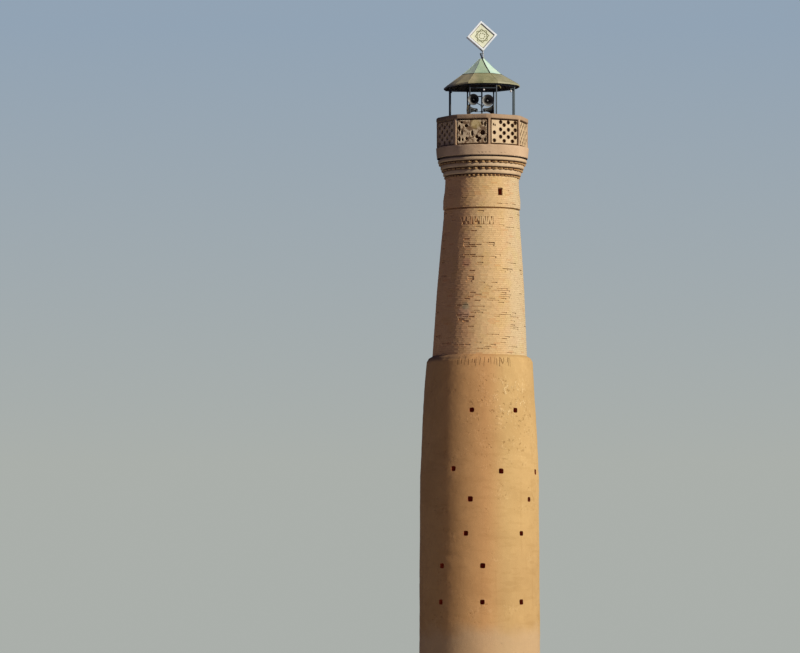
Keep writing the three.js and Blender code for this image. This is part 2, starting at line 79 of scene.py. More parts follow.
# Azimuths are in degrees: 0 faces the camera, 90 faces +X.
DOORWAY = {"width": 0.76, "top": 1.95}
SOCKET_SIZE = 0.17
SOCKET_DEPTH = 0.4
SOCKET_ROWS = [(9.68, (-7.6, 39.3, 90)), (7.76, (-25.8,)), (7.675, (21.4, 69.9)), (6.76, (-8.8, 55.9)),
               (5.64, (-13.1, 44.1)), (4.58, (-38.2, 3.0)), (3.395, (-39.8, 2.6, 43.6))]
LIGHT_SLOT = {"azimuth": 29, "height": 16.92, "width": 0.165, "tall": 0.225, "radius": 1.25}

# Where bricks have crumbled: azimuth, height, half width and half height. The margin widens each of them,
# and the depth is how far the broken faces stand back.
POCKETS = [(12.4, 15.16, 0.1, 0.05), (20, 14.78, 0.08, 0.08), (37, 14.3, 0.2, 0.07),
           (-18.7, 15.16, 0.07, 0.06), (-15, 14.02, 0.05, 0.08), (-19, 12.65, 0.15, 0.06)]
POCKET_MARGIN = 0.03
POCKET_DEPTH = (0.004, 0.034)

# An open joint: how much higher it is than a sound one, and how far its mortar stands back.
OPEN_HEIGHT = (0.01, 0.032)
OPEN_DEPTH = (0.018, 0.038)

# Bricks on end, whose joints have lost their mortar: azimuths from and to, bottom and top.
LOOSE_BAND = (-30, 18, 15.835, 16.1)
LOOSE_EDGING = (-24, 38, 11.1, 11.5)

# Cornice rings: bottom, top, radius, number of teeth and how deep the teeth are.
CORNICE_RINGS = [("lower", CORNICE_BOTTOM, 17.67, 1.3, 54, 0.05),
                 ("middle", 17.67, 17.88, 1.392, 38, 0.065),
                 ("upper", 17.88, FLOOR_BOTTOM, 1.483, 41, 0.065)]
TOOTH_HEIGHT = 0.08
TOOTH_SETBACK = 0.02
THROAT_HEIGHT = 0.045
THROAT_RADIUS = 1.425
DRUM_OUTLINE = [(1.512, FLOOR_BOTTOM), (1.543, FLOOR_TOP)]
DRUM_INNER_RADIUS = 1.35
DAY_JOINT = {"height": 18.2, "radius": 1.53, "azimuths": (-5, -1, 3.5, 8, 24, 29)}

# The pavilion of eight posts on the gallery floor, and the two slopes of its roof.
SIDES = 8
ROOF_STEPS = 2 * SIDES
PAVILION_X = 0.095
PAVILION_PHASE = 24.7
POST_CIRCLE = 1.15
POST_RADIUS = 0.024
BEAM_HEIGHT = 20.51
RAIL_HEIGHT = 20.383
EAVE = {"radius": 1.29, "height": 20.575, "fascia": 0.05, "rounding": 0.8, "left": -0.085, "right": 0.01}
BREAK_RADIUS = 0.705
SHEET = 0.025
CAP_MIDDLE = (0.385, 21.19)
CAP_TIP_RADIUS = 0.09
CAP_LINE = [(BREAK_RADIUS, BREAK_HEIGHT), CAP_MIDDLE, (CAP_TIP_RADIUS, CAP_TOP)]

# What hangs under the eave: two lamps, one on a bracket, a shade and a hook.
LAMPS = [Vector((0.16, -1.02, RAIL_HEIGHT)), Vector((1.06, -0.41, 20.4))]
LAMP_BRACKET = [Vector((1.04, -0.41, 20.43)), Vector((1.17, -0.4, 20.43))]
LAMP_SHADE = Vector((-0.94, 0.02, 20.42))
HOOK = [Vector((0.6015, -1.049, 20.44)), Vector((0.6605, -1.065, 20.452)),
        Vector((0.7055, -1.075, 20.42)), Vector((0.7105, -1.075, 20.365))]

# The sign stands on its pole, turned to the right and tilted to the left.
SIGN_FOOT = Vector((0.15, 0, CAP_TOP))
SIGN_TILT = math.radians(-4.4)
SIGN_TURN = math.radians(6.6)
SIGN = {"centre": 0.76, "side": 0.715, "border": 0.057, "depth": 0.3, "recess": 0.032}
SIGN_INSIDE = SIGN["side"] / 2 - SIGN["border"]
SIGN_FACE = SIGN["recess"] - SIGN["depth"] / 2

# Loudspeaker horns: place of the mouth, azimuth and radius of the mouth.
HORNS = {"horn_front_left": ((-0.188, -1.29, 19.97), -14, 0.19),
         "horn_front_right": ((0.3, -1.29, 19.935), 12, 0.2),
         "horn_lower_left": ((-0.36, -0.06, 19.77), -70, 0.172),
         "horn_lower_right": ((0.46, 0.06, 19.77), 105, 0.172)}
HORN = {"bell": 0.215, "throat": 0.062, "driver": 0.055, "driver_length": 0.11}

# Spots in the finishes: azimuth, radius and height.
SPOTS = {"pitted": (30, 1.9, 9.6), "flaked": (36, 1.9, 10), "repair": (-20, 1.44, 14.57),
         "patch": (-21, 1.5, 12.9), "moss": (-19, 1.5, 13.12), "panel_patch": (-9, 1.45, 19.15)}

# The sun is low on the right, and the plain background pales towards the horizon.
SUN = {"azimuth": 58, "elevation": 24, "strength": 4.6, "spread": 5, "colour": (1, 0.93, 0.83)}
FILL_COLOUR = (0.064, 0.06, 0.122)
HORIZON_COLOUR = (0.405, 0.43, 0.405)
SKY_COLOUR = (0.287, 0.367, 0.458)
HAZE = (0.03, 0.135)

# The camera stands far back and looks up a little. Its lens is given as pixels of the picture.
PICTURE_WIDTH = 800
AXIS_COLUMN = 479.4
FOCAL_PIXELS = 4128
CAMERA_DISTANCE = 137
CAMERA_HEIGHT = 3.9
CAMERA_PITCH = math.radians(3.605)


def outwards(azimuth):
    turn = math.radians(azimuth)
    return Vector((math.sin(turn), -math.cos(turn), 0))


def raised(height):
    return Vector((0, 0, height))


def chord(radius, turn):
    """The straight width of a turn in degrees at a radius."""
    return 2 * radius * math.sin(math.radians(turn) / 2)


def lean_at(height):
    rise = (height - LEAN_START) / (FLOOR_BOTTOM - LEAN_START)
    return LEAN_AT_TOP * min(max(rise, 0), 1)


def on_wall(azimuth, radius, height):
    """The point of the tower at an azimuth, a distance from its leaning axis and a height."""
    return outwards(azimuth) * radius + Vector((lean_at(height), 0, height))


def radius_at(outline, height):
    for (low_radius, low), (high_radius, high) in zip(outline, outline[1:]):
        if height <= high:
            part = (height - low) / (high - low)
            return low_radius + (high_radius - low_radius) * part
    return outline[-1][0]


def slope_at(outline, height):
    """How far the wall leans in at a height, as an angle."""
    step = 0.05
    change = radius_at(outline, height - step) - radius_at(outline, height + step)
    return math.atan2(change, 2 * step)


def smooth_step(value, low, high):
    part = min(max((value - low) / (high - low), 0), 1)
    return part * part * (3 - 2 * part)


# Shader building.
def feed(tree, socket, value):
    """Links a socket to a signal or to a node's output, or gives it a plain value."""
    source = value.socket if isinstance(value, Signal) else value
    if isinstance(source, bpy.types.NodeSocket):
        tree.links.new(source, socket)
    else:
        socket.default_value = source


def add_node(tree, kind, settings=None, inputs=None):
    """A new node of a tree, with its settings made and its inputs fed."""
    node = tree.nodes.new(kind)
    for name, value in (settings or {}).items():
        setattr(node, name, value)
    for name, value in (inputs or {}).items():
        feed(tree, node.inputs[name], value)
    return node


class Signal:
    """A shader socket that takes part in Python arithmetic."""

    def __init__(self, finish, socket):
        self.finish = finish
        self.socket = socket

    def maths(self, operation, other):
        return self.finish.node("ShaderNodeMath", {"operation": operation}, {0: self, 1: other})

    def __add__(self, other):
        return self.maths("ADD", other)

    def __sub__(self, other):
        return self.maths("SUBTRACT", other)

    def __mul__(self, other):
        return self.maths("MULTIPLY", other)

    def most(self, other):
        return self.maths("MAXIMUM", other)

    def band(self, low, high):
        """0 below low, 1 above high and smooth between; low may be the larger one."""
        inputs = {"Value": self, "From Min": low, "From Max": high}
        return self.finish.node("ShaderNodeMapRange", {"interpolation_type": "SMOOTHSTEP"}, inputs)


class Finish:
    """A material under construction, with one method that makes any of its nodes."""

    def __init__(self, name):
        self.material = bpy.data.materials.new(name)
        self.material.use_nodes = True
        self.tree = self.material.node_tree
        self.place = self.node("ShaderNodeTexCoord", output="Object")

    def node(self, kind, settings=None, inputs=None, output=0):
        return Signal(self, add_node(self.tree, kind, settings, inputs).outputs[output])

    def noise(self, scale, detail=3, roughness=0.5, distortion=0):
        """Noise of one scale, or of three where it is stretched along the axes."""
        place = self.place
        if isinstance(scale, tuple):
            place = self.node("ShaderNodeVectorMath", {"operation": "MULTIPLY"}, {0: place, 1: scale})
            scale = 1
        inputs = {"Vector": place, "Scale": scale, "Detail": detail, "Roughness": roughness,
                  "Distortion": distortion}
        return self.node("ShaderNodeTexNoise", None, inputs)

    def attribute(self, name):
        return self.node("ShaderNodeAttribute", {"attribute_name": name}, output="Fac")

    def axis(self, name):
        return self.node("ShaderNodeSeparateXYZ", None, {0: self.place}, output=name)

    def near(self, spot, radius, reach):
        """1 at one of the spots, falling to 0 between a radius and that radius and reach."""
        distance = self.node("ShaderNodeVectorMath", {"operation": "DISTANCE"},
                             {0: self.place, 1: on_wall(*SPOTS[spot])}, output="Value")
        return distance.band(radius + reach, radius)

    def blend(self, factor, first, second, mode="MIX"):
        settings = {"data_type": "RGBA", "blend_type": mode, "clamp_factor": True}
        inputs = {0: factor, 6: opaque(first), 7: opaque(second)}
        return self.node("ShaderNodeMix", settings, inputs, output=2)

    def toned(self, colour, *layers):
        """The colour multiplied by the tone of each (factor, tone) pair, as far as its factor says."""
        for factor, tone in layers:
            colour = self.blend(factor, colour, tone, "MULTIPLY")
        return colour

    def surface(self, colour, roughness, relief=None, depth=0.01, **constants):
        """Feeds the shader; relief is a height from 0 to 1 that stands for depth metres."""
        values = {"Base Color": opaque(colour), "Roughness": roughness}
        for name, value in constants.items():
            values[name.replace("_", " ")] = value
        if relief is not None:
            values["Normal"] = self.node("ShaderNodeBump", None, {
                "Height": relief, "Distance": depth, "Strength": 1})
        shader = self.tree.nodes["Principled BSDF"]
        for name, value in values.items():
            feed(self.tree, shader.inputs[name], value)
        return self.material


def opaque(colour):
    """A colour of three parts with an alpha of one, or a signal as it is."""
    return colour if isinstance(colour, Signal) else (*colour[:3], 1)


# Mesh building.
def mesh_object(name, points, faces, material=None, smooth=True):
    mesh = bpy.data.meshes.new(name)
    mesh.from_pydata([tuple(point) for point in points], [], faces)
    mesh.update()
    if smooth:
        mesh.shade_smooth()
    if material:
        mesh.materials.append(material)
    piece = bpy.data.objects.new(name, mesh)
    bpy.context.scene.collection.objects.link(piece)
    return piece


def ring_faces(columns, rows):
    """Faces of a closed section of rows points that is carried round columns steps."""
    faces = []
    for column in range(columns):
        here, following = column * rows, ((column + 1) % columns) * rows
        for row in range(rows):
            above = (row + 1) % rows
            faces.append((here + row, following + row, following + above, here + above))
    return faces


def revolved(name, section, columns, material, relief=None):
    """A closed ring: a section of (radius, height) points, anticlockwise, carried round the axis."""
    points = []
    for column in range(columns):
        azimuth = 360 * column / columns
        for radius, height in section:
            extra = relief(azimuth, radius, height) if relief else 0
            points.append(on_wall(azimuth, radius + extra, height))
    return mesh_object(name, points, ring_faces(columns, len(section)), material)


def evenly(outline, step):
    """Points of an outline at most step apart, with its own corners kept."""
    dense = [outline[0]]
    for (low_radius, low), (high_radius, high) in zip(outline, outline[1:]):
        length = math.hypot(high_radius - low_radius, high - low)
        count = max(1, math.ceil(length / step))
        for i in range(1, count + 1):
            part = i / count
            dense.append((low_radius + (high_radius - low_radius) * part, low + (high - low) * part))
    return dense


class Shape:
    """Points and faces that are placed and joined before they become a mesh."""

    def __init__(self, points, faces, slots=None):
        self.points = [Vector(point) for point in points]
        self.faces = faces
        self.slots = slots or [0] * len(faces)

    def placed(self, matrix):
        return Shape([matrix @ point for point in self.points], self.faces, self.slots)

    def in_slot(self, slot):
        return Shape(self.points, self.faces, [slot] * len(self.faces))


def block(centre, size, rotation=None, taper=0):
    """A box; taper narrows its far end, as a rough cut does."""
    turn = rotation or Euler()
    corners = []
    for x in (-1, 1):
        for y in (-1, 1):
            narrow = 1 - taper * (y + 1) / 2
            for z in (-1, 1):
                corner = Vector((x * narrow * size[0], y * size[1], z * narrow * size[2])) / 2
                corner.rotate(turn)
                corners.append(corner + centre)
    faces = [(0, 1, 3, 2), (4, 6, 7, 5), (0, 4, 5, 1), (2, 3, 7, 6), (0, 2, 6, 4), (1, 5, 7, 3)]
    return Shape(corners, faces)


def bar(start, end, width, height):
    """A straight bar between two points, with its width level."""
    along = (end - start).normalized()
    side = raised(1).cross(along).normalized()
    axes = Matrix((along, side, along.cross(side))).transposed()
    size = ((end - start).length, width, height)
    return block((start + end) / 2, size, axes.to_euler())


def bars(points, width, height, closed=False):
    """Bars from each point to the next, and back to the first where they are closed."""
    ends = points[1:] + points[:1] if closed else points[1:]
    return [bar(start, end, width, height) for start, end in zip(points, ends)]


def closed_skin(rings, first_pole, last_pole):
    """Rings of points closed by two poles; a ring turns anticlockwise about the way from pole to pole."""
    columns = len(rings[0])
    points = [first_pole] + [point for ring in rings for point in ring] + [last_pole]
    faces = []
    top = 1 + (len(rings) - 1) * columns
    for i in range(columns):
        following = (i + 1) % columns
        faces.append((0, 1 + following, 1 + i))
        for row in range(len(rings) - 1):
            here, above = 1 + row * columns, 1 + (row + 1) * columns
            faces.append((here + i, here + following, above + following, above + i))
        faces.append((len(points) - 1, top + i, top + following))
    return Shape(points, faces)


def turned(section, columns):
    """A solid turned about the Y axis from (radius, along) points that start and end on it."""
    rings = []
    for radius, along in section[1:-1]:
        turns = [2 * math.pi * i / columns for i in range(columns)]
        rings.append([Vector((radius * math.cos(turn), along, -radius * math.sin(turn))) for turn in turns])
    return closed_skin(rings, Vector((0, section[0][1], 0)), Vector((0, section[-1][1], 0)))


def towards(start, direction):
    """The matrix that lays the Y axis from a start along a direction."""
    return Matrix.Translation(start) @ direction.to_track_quat("Y", "Z").to_matrix().to_4x4()


def rod(start, end, radius, columns):
    """A round bar between two points with a small bevel at both ends."""
    length, bevel = (end - start).length, 0.002
    section = [(0, 0), (radius - bevel, 0), (radius, bevel), (radius, length - bevel),
               (radius - bevel, length), (0, length)]
    return turned(section, columns).placed(towards(start, end - start))


def upright(foot, height, radius, columns):
    """A round bar that stands on a point."""
    return rod(foot, foot + raised(height), radius, columns)


def joined_mesh(name, shapes, *materials, sharp=None):
    """One object from several shapes; each face takes the material of its slot.

    The faces are smooth but for edges of more than sharp degrees, or all flat without that angle.
    """
    points, faces, slots = [], [], []
    for shape in shapes:
        start = len(points)
        points.extend(shape.points)
        faces.extend(tuple(start + index for index in face) for face in shape.faces)
        slots.extend(shape.slots)
    piece = mesh_object(name, points, faces, smooth=sharp is not None)
    for material in materials:
        piece.data.materials.append(material)
    piece.data.polygons.foreach_set("material_index", slots)
    if sharp is not None:
        piece.data.set_sharp_from_angle(angle=math.radians(sharp))
    return piece


def with_modifiers(piece):
    """Replaces the mesh of a piece by what its modifiers make of it, and removes them."""
    graph = bpy.context.evaluated_depsgraph_get()
    mesh = bpy.data.meshes.new_from_object(piece.evaluated_get(graph), depsgraph=graph)
    old = piece.data
    piece.modifiers.clear()
    piece.data = mesh
    mesh.name = piece.name
    bpy.data.meshes.remove(old)
    return piece


def cut(piece, cutter):
    """Takes the cutter's solid out of a piece, and removes the cutter."""
    modifier = piece.modifiers.new("cut", "BOOLEAN")
    modifier.operation = "DIFFERENCE"
    modifier.solver = "MANIFOLD"
    modifier.object = cutter
    with_modifiers(piece)
    bpy.data.objects.remove(cutter)
    return piece


def settle(piece, slot, *nodes):
    """Fixes a finished piece to the tower and hides the frame's nodes that it stands for."""
    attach(piece, "root")
    if nodes:
        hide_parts(*nodes)
    return piece


def dress(material, *nodes):
    """Gives nodes of the frame that stay a better material."""
    for name in nodes:
        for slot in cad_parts[name].material_slots:
            slot.material = material


def nodes_named(*starts):
    """The names of the frame's nodes that begin in one of these ways."""
    return [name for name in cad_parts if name.startswith(starts)]


# Units that are laid by Geometry Nodes: each fits a box of one metre whose front faces -Y at Y = 0.
def brick_unit():
    """A brick whose front arris is worn."""
    inset_x, inset_z, arris = 0.006, 0.02, 0.03
    front = [(-0.5 + inset_x, 0, -0.5 + inset_z), (0.5 - inset_x, 0, -0.5 + inset_z),
             (0.5 - inset_x, 0, 0.5 - inset_z), (-0.5 + inset_x, 0, 0.5 - inset_z)]
    middle = [(-0.5, arris, -0.5), (0.5, arris, -0.5), (0.5, arris, 0.5), (-0.5, arris, 0.5)]
    back = [(x, 1, z) for x, _, z in middle]
    faces = [(0, 1, 2, 3), (11, 10, 9, 8)]
    for start in (0, 4):
        for i in range(4):
            following = (i + 1) % 4
            faces.append((start + following, start + i, start + 4 + i, start + 4 + following))
    return mesh_object("brick_unit", front + middle + back, faces, smooth=False)


def tooth_unit():
    """A brick laid with its corner out: a three-sided block with a blunt tip."""
    blunt = 0.04
    plan = [(-blunt, 0), (blunt, 0), (0.5, 0.94), (0.5, 1), (-0.5, 1), (-0.5, 0.94)]
    points = [(x, y, z) for z in (-0.5, 0.5) for x, y in plan]
    count = len(plan)
    faces = [tuple(reversed(range(count))), tuple(range(count, 2 * count))]
    for i in range(count):
        following = (i + 1) % count
        faces.append((i, following, count + following, count + i))
    return mesh_object("tooth_unit", points, faces, smooth=False)


def laying_tree():
    """Geometry Nodes that lay one unit on each point, turned, sized and worn."""
    tree = bpy.data.node_groups.new("Lay units", "GeometryNodeTree")
    sockets = [("Geometry", "Geometry", None), ("Unit", "Object", None), ("Wear", "Float", 0.002),
               ("Grain", "Float", 18), ("Seed", "Float", 1), ("Material", "Material", None)]
    for name, kind, default in sockets:
        socket = tree.interface.new_socket(name, in_out="INPUT", socket_type="NodeSocket" + kind)
        if default is not None:
            socket.default_value = default
    tree.interface.new_socket("Geometry", in_out="OUTPUT", socket_type="NodeSocketGeometry")

    def node(kind, settings=None, inputs=None):
        return add_node(tree, kind, settings, inputs)

    given = node("NodeGroupInput").outputs
    vector = {"data_type": "FLOAT_VECTOR"}
    facing = node("GeometryNodeInputNamedAttribute", vector, {"Name": "facing"})
    size = node("GeometryNodeInputNamedAttribute", vector, {"Name": "size"})
    turn = node("FunctionNodeEulerToRotation", None, {0: facing.outputs["Attribute"]})
    unit = node("GeometryNodeObjectInfo", None, {"Object": given["Unit"]})
    laid = node("GeometryNodeInstanceOnPoints", None, {
        "Points": given["Geometry"], "Instance": unit.outputs["Geometry"],
        "Rotation": turn.outputs[0], "Scale": size.outputs["Attribute"]})
    real = node("GeometryNodeRealizeInstances", None, {"Geometry": laid.outputs[0]})
    chips = node("ShaderNodeTexNoise", {"noise_dimensions": "4D"}, {
        "W": given["Seed"], "Scale": given["Grain"], "Detail": 1})
    centred = node("ShaderNodeVectorMath", {"operation": "SUBTRACT"}, {
        0: chips.outputs["Color"], 1: (0.5, 0.5, 0.5)})
    offset = node("ShaderNodeVectorMath", {"operation": "SCALE"}, {
        0: centred.outputs[0], "Scale": given["Wear"]})
    worn = node("GeometryNodeSetPosition", None, {
        "Geometry": real.outputs[0], "Offset": offset.outputs[0]})
    coated = node("GeometryNodeSetMaterial", None, {
        "Geometry": worn.outputs[0], "Material": given["Material"]})
    node("NodeGroupOutput", None, {0: coated.outputs[0]})
    return tree


def set_input(modifier, name, value):
    """Sets an input of a Geometry Nodes modifier by its socket's identifier."""
    for item in modifier.node_group.interface.items_tree:
        if item.in_out == "INPUT" and item.name == name:
            modifier[item.identifier] = value
            return
    raise ValueError(f"the tree has no input named {name}")


def lay(name, units, unit, material, wear, grain, seed=1):
    """One mesh of units laid as (front centre, rotation, size, tint) rows say."""
    mesh = bpy.data.meshes.new(name)
    mesh.from_pydata([tuple(row[0]) for row in units], [], [])
    columns = {"facing": ("FLOAT_VECTOR", "vector", 1), "size": ("FLOAT_VECTOR", "vector", 2),
               "tint": ("FLOAT", "value", 3)}
    for key, (kind, part, column) in columns.items():
        layer = mesh.attributes.new(key, kind, "POINT")
        for element, row in zip(layer.data, units):
            setattr(element, part, row[column])
    piece = bpy.data.objects.new(name, mesh)
    bpy.context.scene.collection.objects.link(piece)
    modifier = piece.modifiers.new("lay", "NODES")
    modifier.node_group = bpy.data.node_groups.get("Lay units") or laying_tree()
    inputs = {"Unit": unit, "Wear": wear, "Grain": grain, "Seed": seed, "Material": material}
    for key, value in inputs.items():
        set_input(modifier, key, value)
    with_modifiers(piece)
    bpy.data.objects.remove(unit)
    return piece


# Brick laying.
class Masonry:
    """Rows of bricks round the leaning axis, with the mortar between them."""

    shortest = 0.8
    uneven_height = 0.002
    uneven_turn = 0.06
    tint_spread = 0.17
    broken_bed = 0.02
    broken_head = 0.025
    head_width = 1.4

    def __init__(self, sizes, seed):
        self.sizes = sizes
        self.random = random.Random(seed)
        self.bricks = []
        self.mortar = []

    def unit(self, rows, azimuth, radius, height, slope, size, tint, roll=0):
        facing = (-slope, roll, math.radians(azimuth))
        rows.append((on_wall(azimuth, radius, height), facing, size, tint))

    def gap_at(self, height):
        """The azimuths that are left free at a height, for the light slot or the loose band."""
        first, last, bottom, top = LOOSE_BAND
        if bottom < height < top:
            return first, last
        if abs(height - LIGHT_SLOT["height"]) < LIGHT_SLOT["tall"] / 2:
            half = math.degrees(LIGHT_SLOT["width"] / 2 / LIGHT_SLOT["radius"])
            return LIGHT_SLOT["azimuth"] - half, LIGHT_SLOT["azimuth"] + half
        return None

    def pieces(self, start, end, gap):
        """The parts of a brick that lie outside a gap, as pairs of azimuths."""
        if gap is None or end <= gap[0] or start >= gap[1]:
            return [(start, end)]
        parts = [(start, gap[0]), (gap[1], end)]
        return [(first, last) for first, last in parts if last - first > self.shortest]

    def in_pocket(self, azimuth, radius, height):
        for middle, level, half_width, half_height in POCKETS:
            across = math.radians(azimuth - middle) * radius
            if abs(across) < half_width + POCKET_MARGIN and abs(height - level) < half_height:
                return True
        return False

    def course(self, outline, bottom, thick, wear):
        """Lays one course; wear(azimuth, height) is the chance that the mortar over a brick is gone."""
        sizes, chance = self.sizes, self.random
        joint = sizes.joint
        middle = bottom + thick / 2
        radius, slope = radius_at(outline, middle), slope_at(outline, middle)
        count = round(2 * math.pi * radius / (sizes.length + joint))
        pitch = 360 / count
        joint_turn = math.degrees(joint / radius)
        first = chance.uniform(0, pitch)
        gap = self.gap_at(middle)
        run = 0
        for i in range(count):
            start = (first + i * pitch + 180) % 360 - 180
            run = max(run - 1, 0)
            if run == 0 and chance.random() < wear(start + pitch / 2, middle):
                run = chance.choice((1, 1, 2))
            crumbled = self.in_pocket(start + pitch / 2, radius, middle)
            lost = crumbled and chance.random() < sizes.lost
            set_back = abs(chance.gauss(0, sizes.roughness))
            if crumbled:
                set_back += chance.uniform(*POCKET_DEPTH)
            height = thick - chance.uniform(0, self.uneven_height)
            if run:
                height -= chance.uniform(*OPEN_HEIGHT)
            tint = min(max(chance.gauss(0.5, self.tint_spread), 0), 1)
            turn = chance.gauss(0, self.uneven_turn)
            if lost:
                continue
            for low, high in self.pieces(start, start + pitch - joint_turn, gap):
                size = (chord(radius, high - low), sizes.depth, height)
                self.unit(self.bricks, (low + high) / 2 + turn, radius - set_back, bottom + height / 2, slope,
                          size, tint)
            bed_set_back = chance.uniform(*OPEN_DEPTH) if run else sizes.recess
            if crumbled:
                bed_set_back += self.broken_bed
            bed_height = thick - height + joint if run else joint
            bed_middle = bottom + thick + joint - bed_height / 2
            for low, high in self.pieces(start, start + pitch, gap):
                size = (chord(radius, high - low), sizes.depth, bed_height)
                self.unit(self.mortar, (low + high) / 2, radius - bed_set_back, bed_middle, slope, size, tint)
            if not self.inside(start + pitch, gap):
                head_set_back = self.broken_head if crumbled else sizes.recess
                size = (joint * self.head_width, sizes.depth, thick)
                self.unit(self.mortar, start + pitch - joint_turn / 2, radius - head_set_back, middle, slope,
                          size, tint)

    def soldiers(self, outline, first, last, bottom, top):
        """Bricks on end that lean a little either way, with open joints between them."""
        sizes, chance = self.sizes, self.random
        middle = (bottom + top) / 2
        radius, slope = radius_at(outline, middle), slope_at(outline, middle)
        azimuth = first + 1
        while azimuth < last - 2:
            open_side = smooth_step(-azimuth, -5, 12)
            width = chance.uniform(0.045, 0.06)
            height = top - bottom - chance.uniform(0.002, 0.016)
            if chance.random() < 0.2 * open_side:
                height -= 0.1
            centre = top - height / 2
            turn = math.degrees(width / radius)
            self.unit(self.bricks, azimuth + turn / 2, radius - chance.uniform(0, 0.008), centre, slope,
                      (width, sizes.depth, height), chance.random(), roll=chance.gauss(-0.02, 0.12))
            azimuth += turn + math.degrees(chance.uniform(0.006, 0.016 + 0.022 * open_side) / radius)

    def inside(self, azimuth, gap):
        return gap is not None and gap[0] < azimuth < gap[1]


def colour_property(name, description, *default):
    return bpy.props.FloatVectorProperty(
        name=name, description=description, subtype="COLOR", default=default, min=0, max=1)


def length_property(name, description, default, least=0):
    return bpy.props.FloatProperty(
        name=name, description=description, unit="LENGTH", default=default, min=least)


class MinaretColours(bpy.types.PropertyGroup):
    """Colours of the finishes, as linear parts."""

    plaster: colour_property("Plaster", "Mud and straw plaster of the lower stage", 0.50, 0.277, 0.113)
    # Painted light: the plaster is paler and yellower on the side of the sun.
    plaster_sunlit: colour_property(
        "Plaster, washed", "Plaster that sun and rain have bleached", 0.505, 0.335, 0.14)
    brick: colour_property("Brick", "Buff brick of the upper stage", 0.59, 0.405, 0.2)
    # Painted shade: the brick on the side away from the sun is darker and redder.
    brick_shade_side: colour_property(
        "Brick, sheltered", "Brick on the side away from the sun", 0.56, 0.336, 0.167)
    # Painted light: the brick on the sunlit side is paler and less red.
    brick_sun_side: colour_property(
        "Brick, washed", "Brick that sun and rain have bleached", 0.53, 0.41, 0.24)
    cornice: colour_property("Cornice", "Pale render of the cornice rings", 0.545, 0.405, 0.25)
    # Painted shade: the teeth are darker than the bands, for the shade the bands cast on them.
    cornice_brick: colour_property("Cornice teeth", "Brick between the cornice rings", 0.36, 0.22, 0.095)
    drum: colour_property("Drum", "Gypsum plaster under the gallery", 0.55, 0.395, 0.25)
    panel: colour_property("Parapet panels", "Pale gypsum of the holed panels", 0.66, 0.53, 0.35)
    parapet: colour_property(
        "Coping and piers", "Stained plaster of the coping and the piers", 0.38, 0.265, 0.165)
    steel: colour_property("Steel paint", "Paint of the posts, beams and mast", 0.05, 0.07, 0.08)
    roof: colour_property("Eave sheets", "Faded paint of the lower slope", 0.30, 0.30, 0.145)
    cap: colour_property("Cap sheets", "Green paint of the upper slope", 0.39, 0.55, 0.37)


class MinaretSizes(bpy.types.PropertyGroup):
    """Sizes of the brickwork."""

    length: length_property("Brick length", "Length of a brick's face", 0.2, 0.1)
    thick: length_property("Brick height", "Height of a brick's face", 0.054, 0.03)
    joint: length_property("Joint", "Thickness of the mortar", 0.012, 0.003)
    depth: length_property("Brick depth", "How far a modelled brick reaches into the wall", 0.06, 0.02)
    recess: length_property("Pointing", "How far sound mortar stands back from the bricks", 0.0008)
    roughness: length_property("Uneven laying", "Usual error of a brick's face", 0.0015)
    lost: bpy.props.FloatProperty(
        name="Lost bricks", description="Share of the crumbled bricks that have fallen out", subtype="FACTOR",
        default=0.1, min=0, max=1)


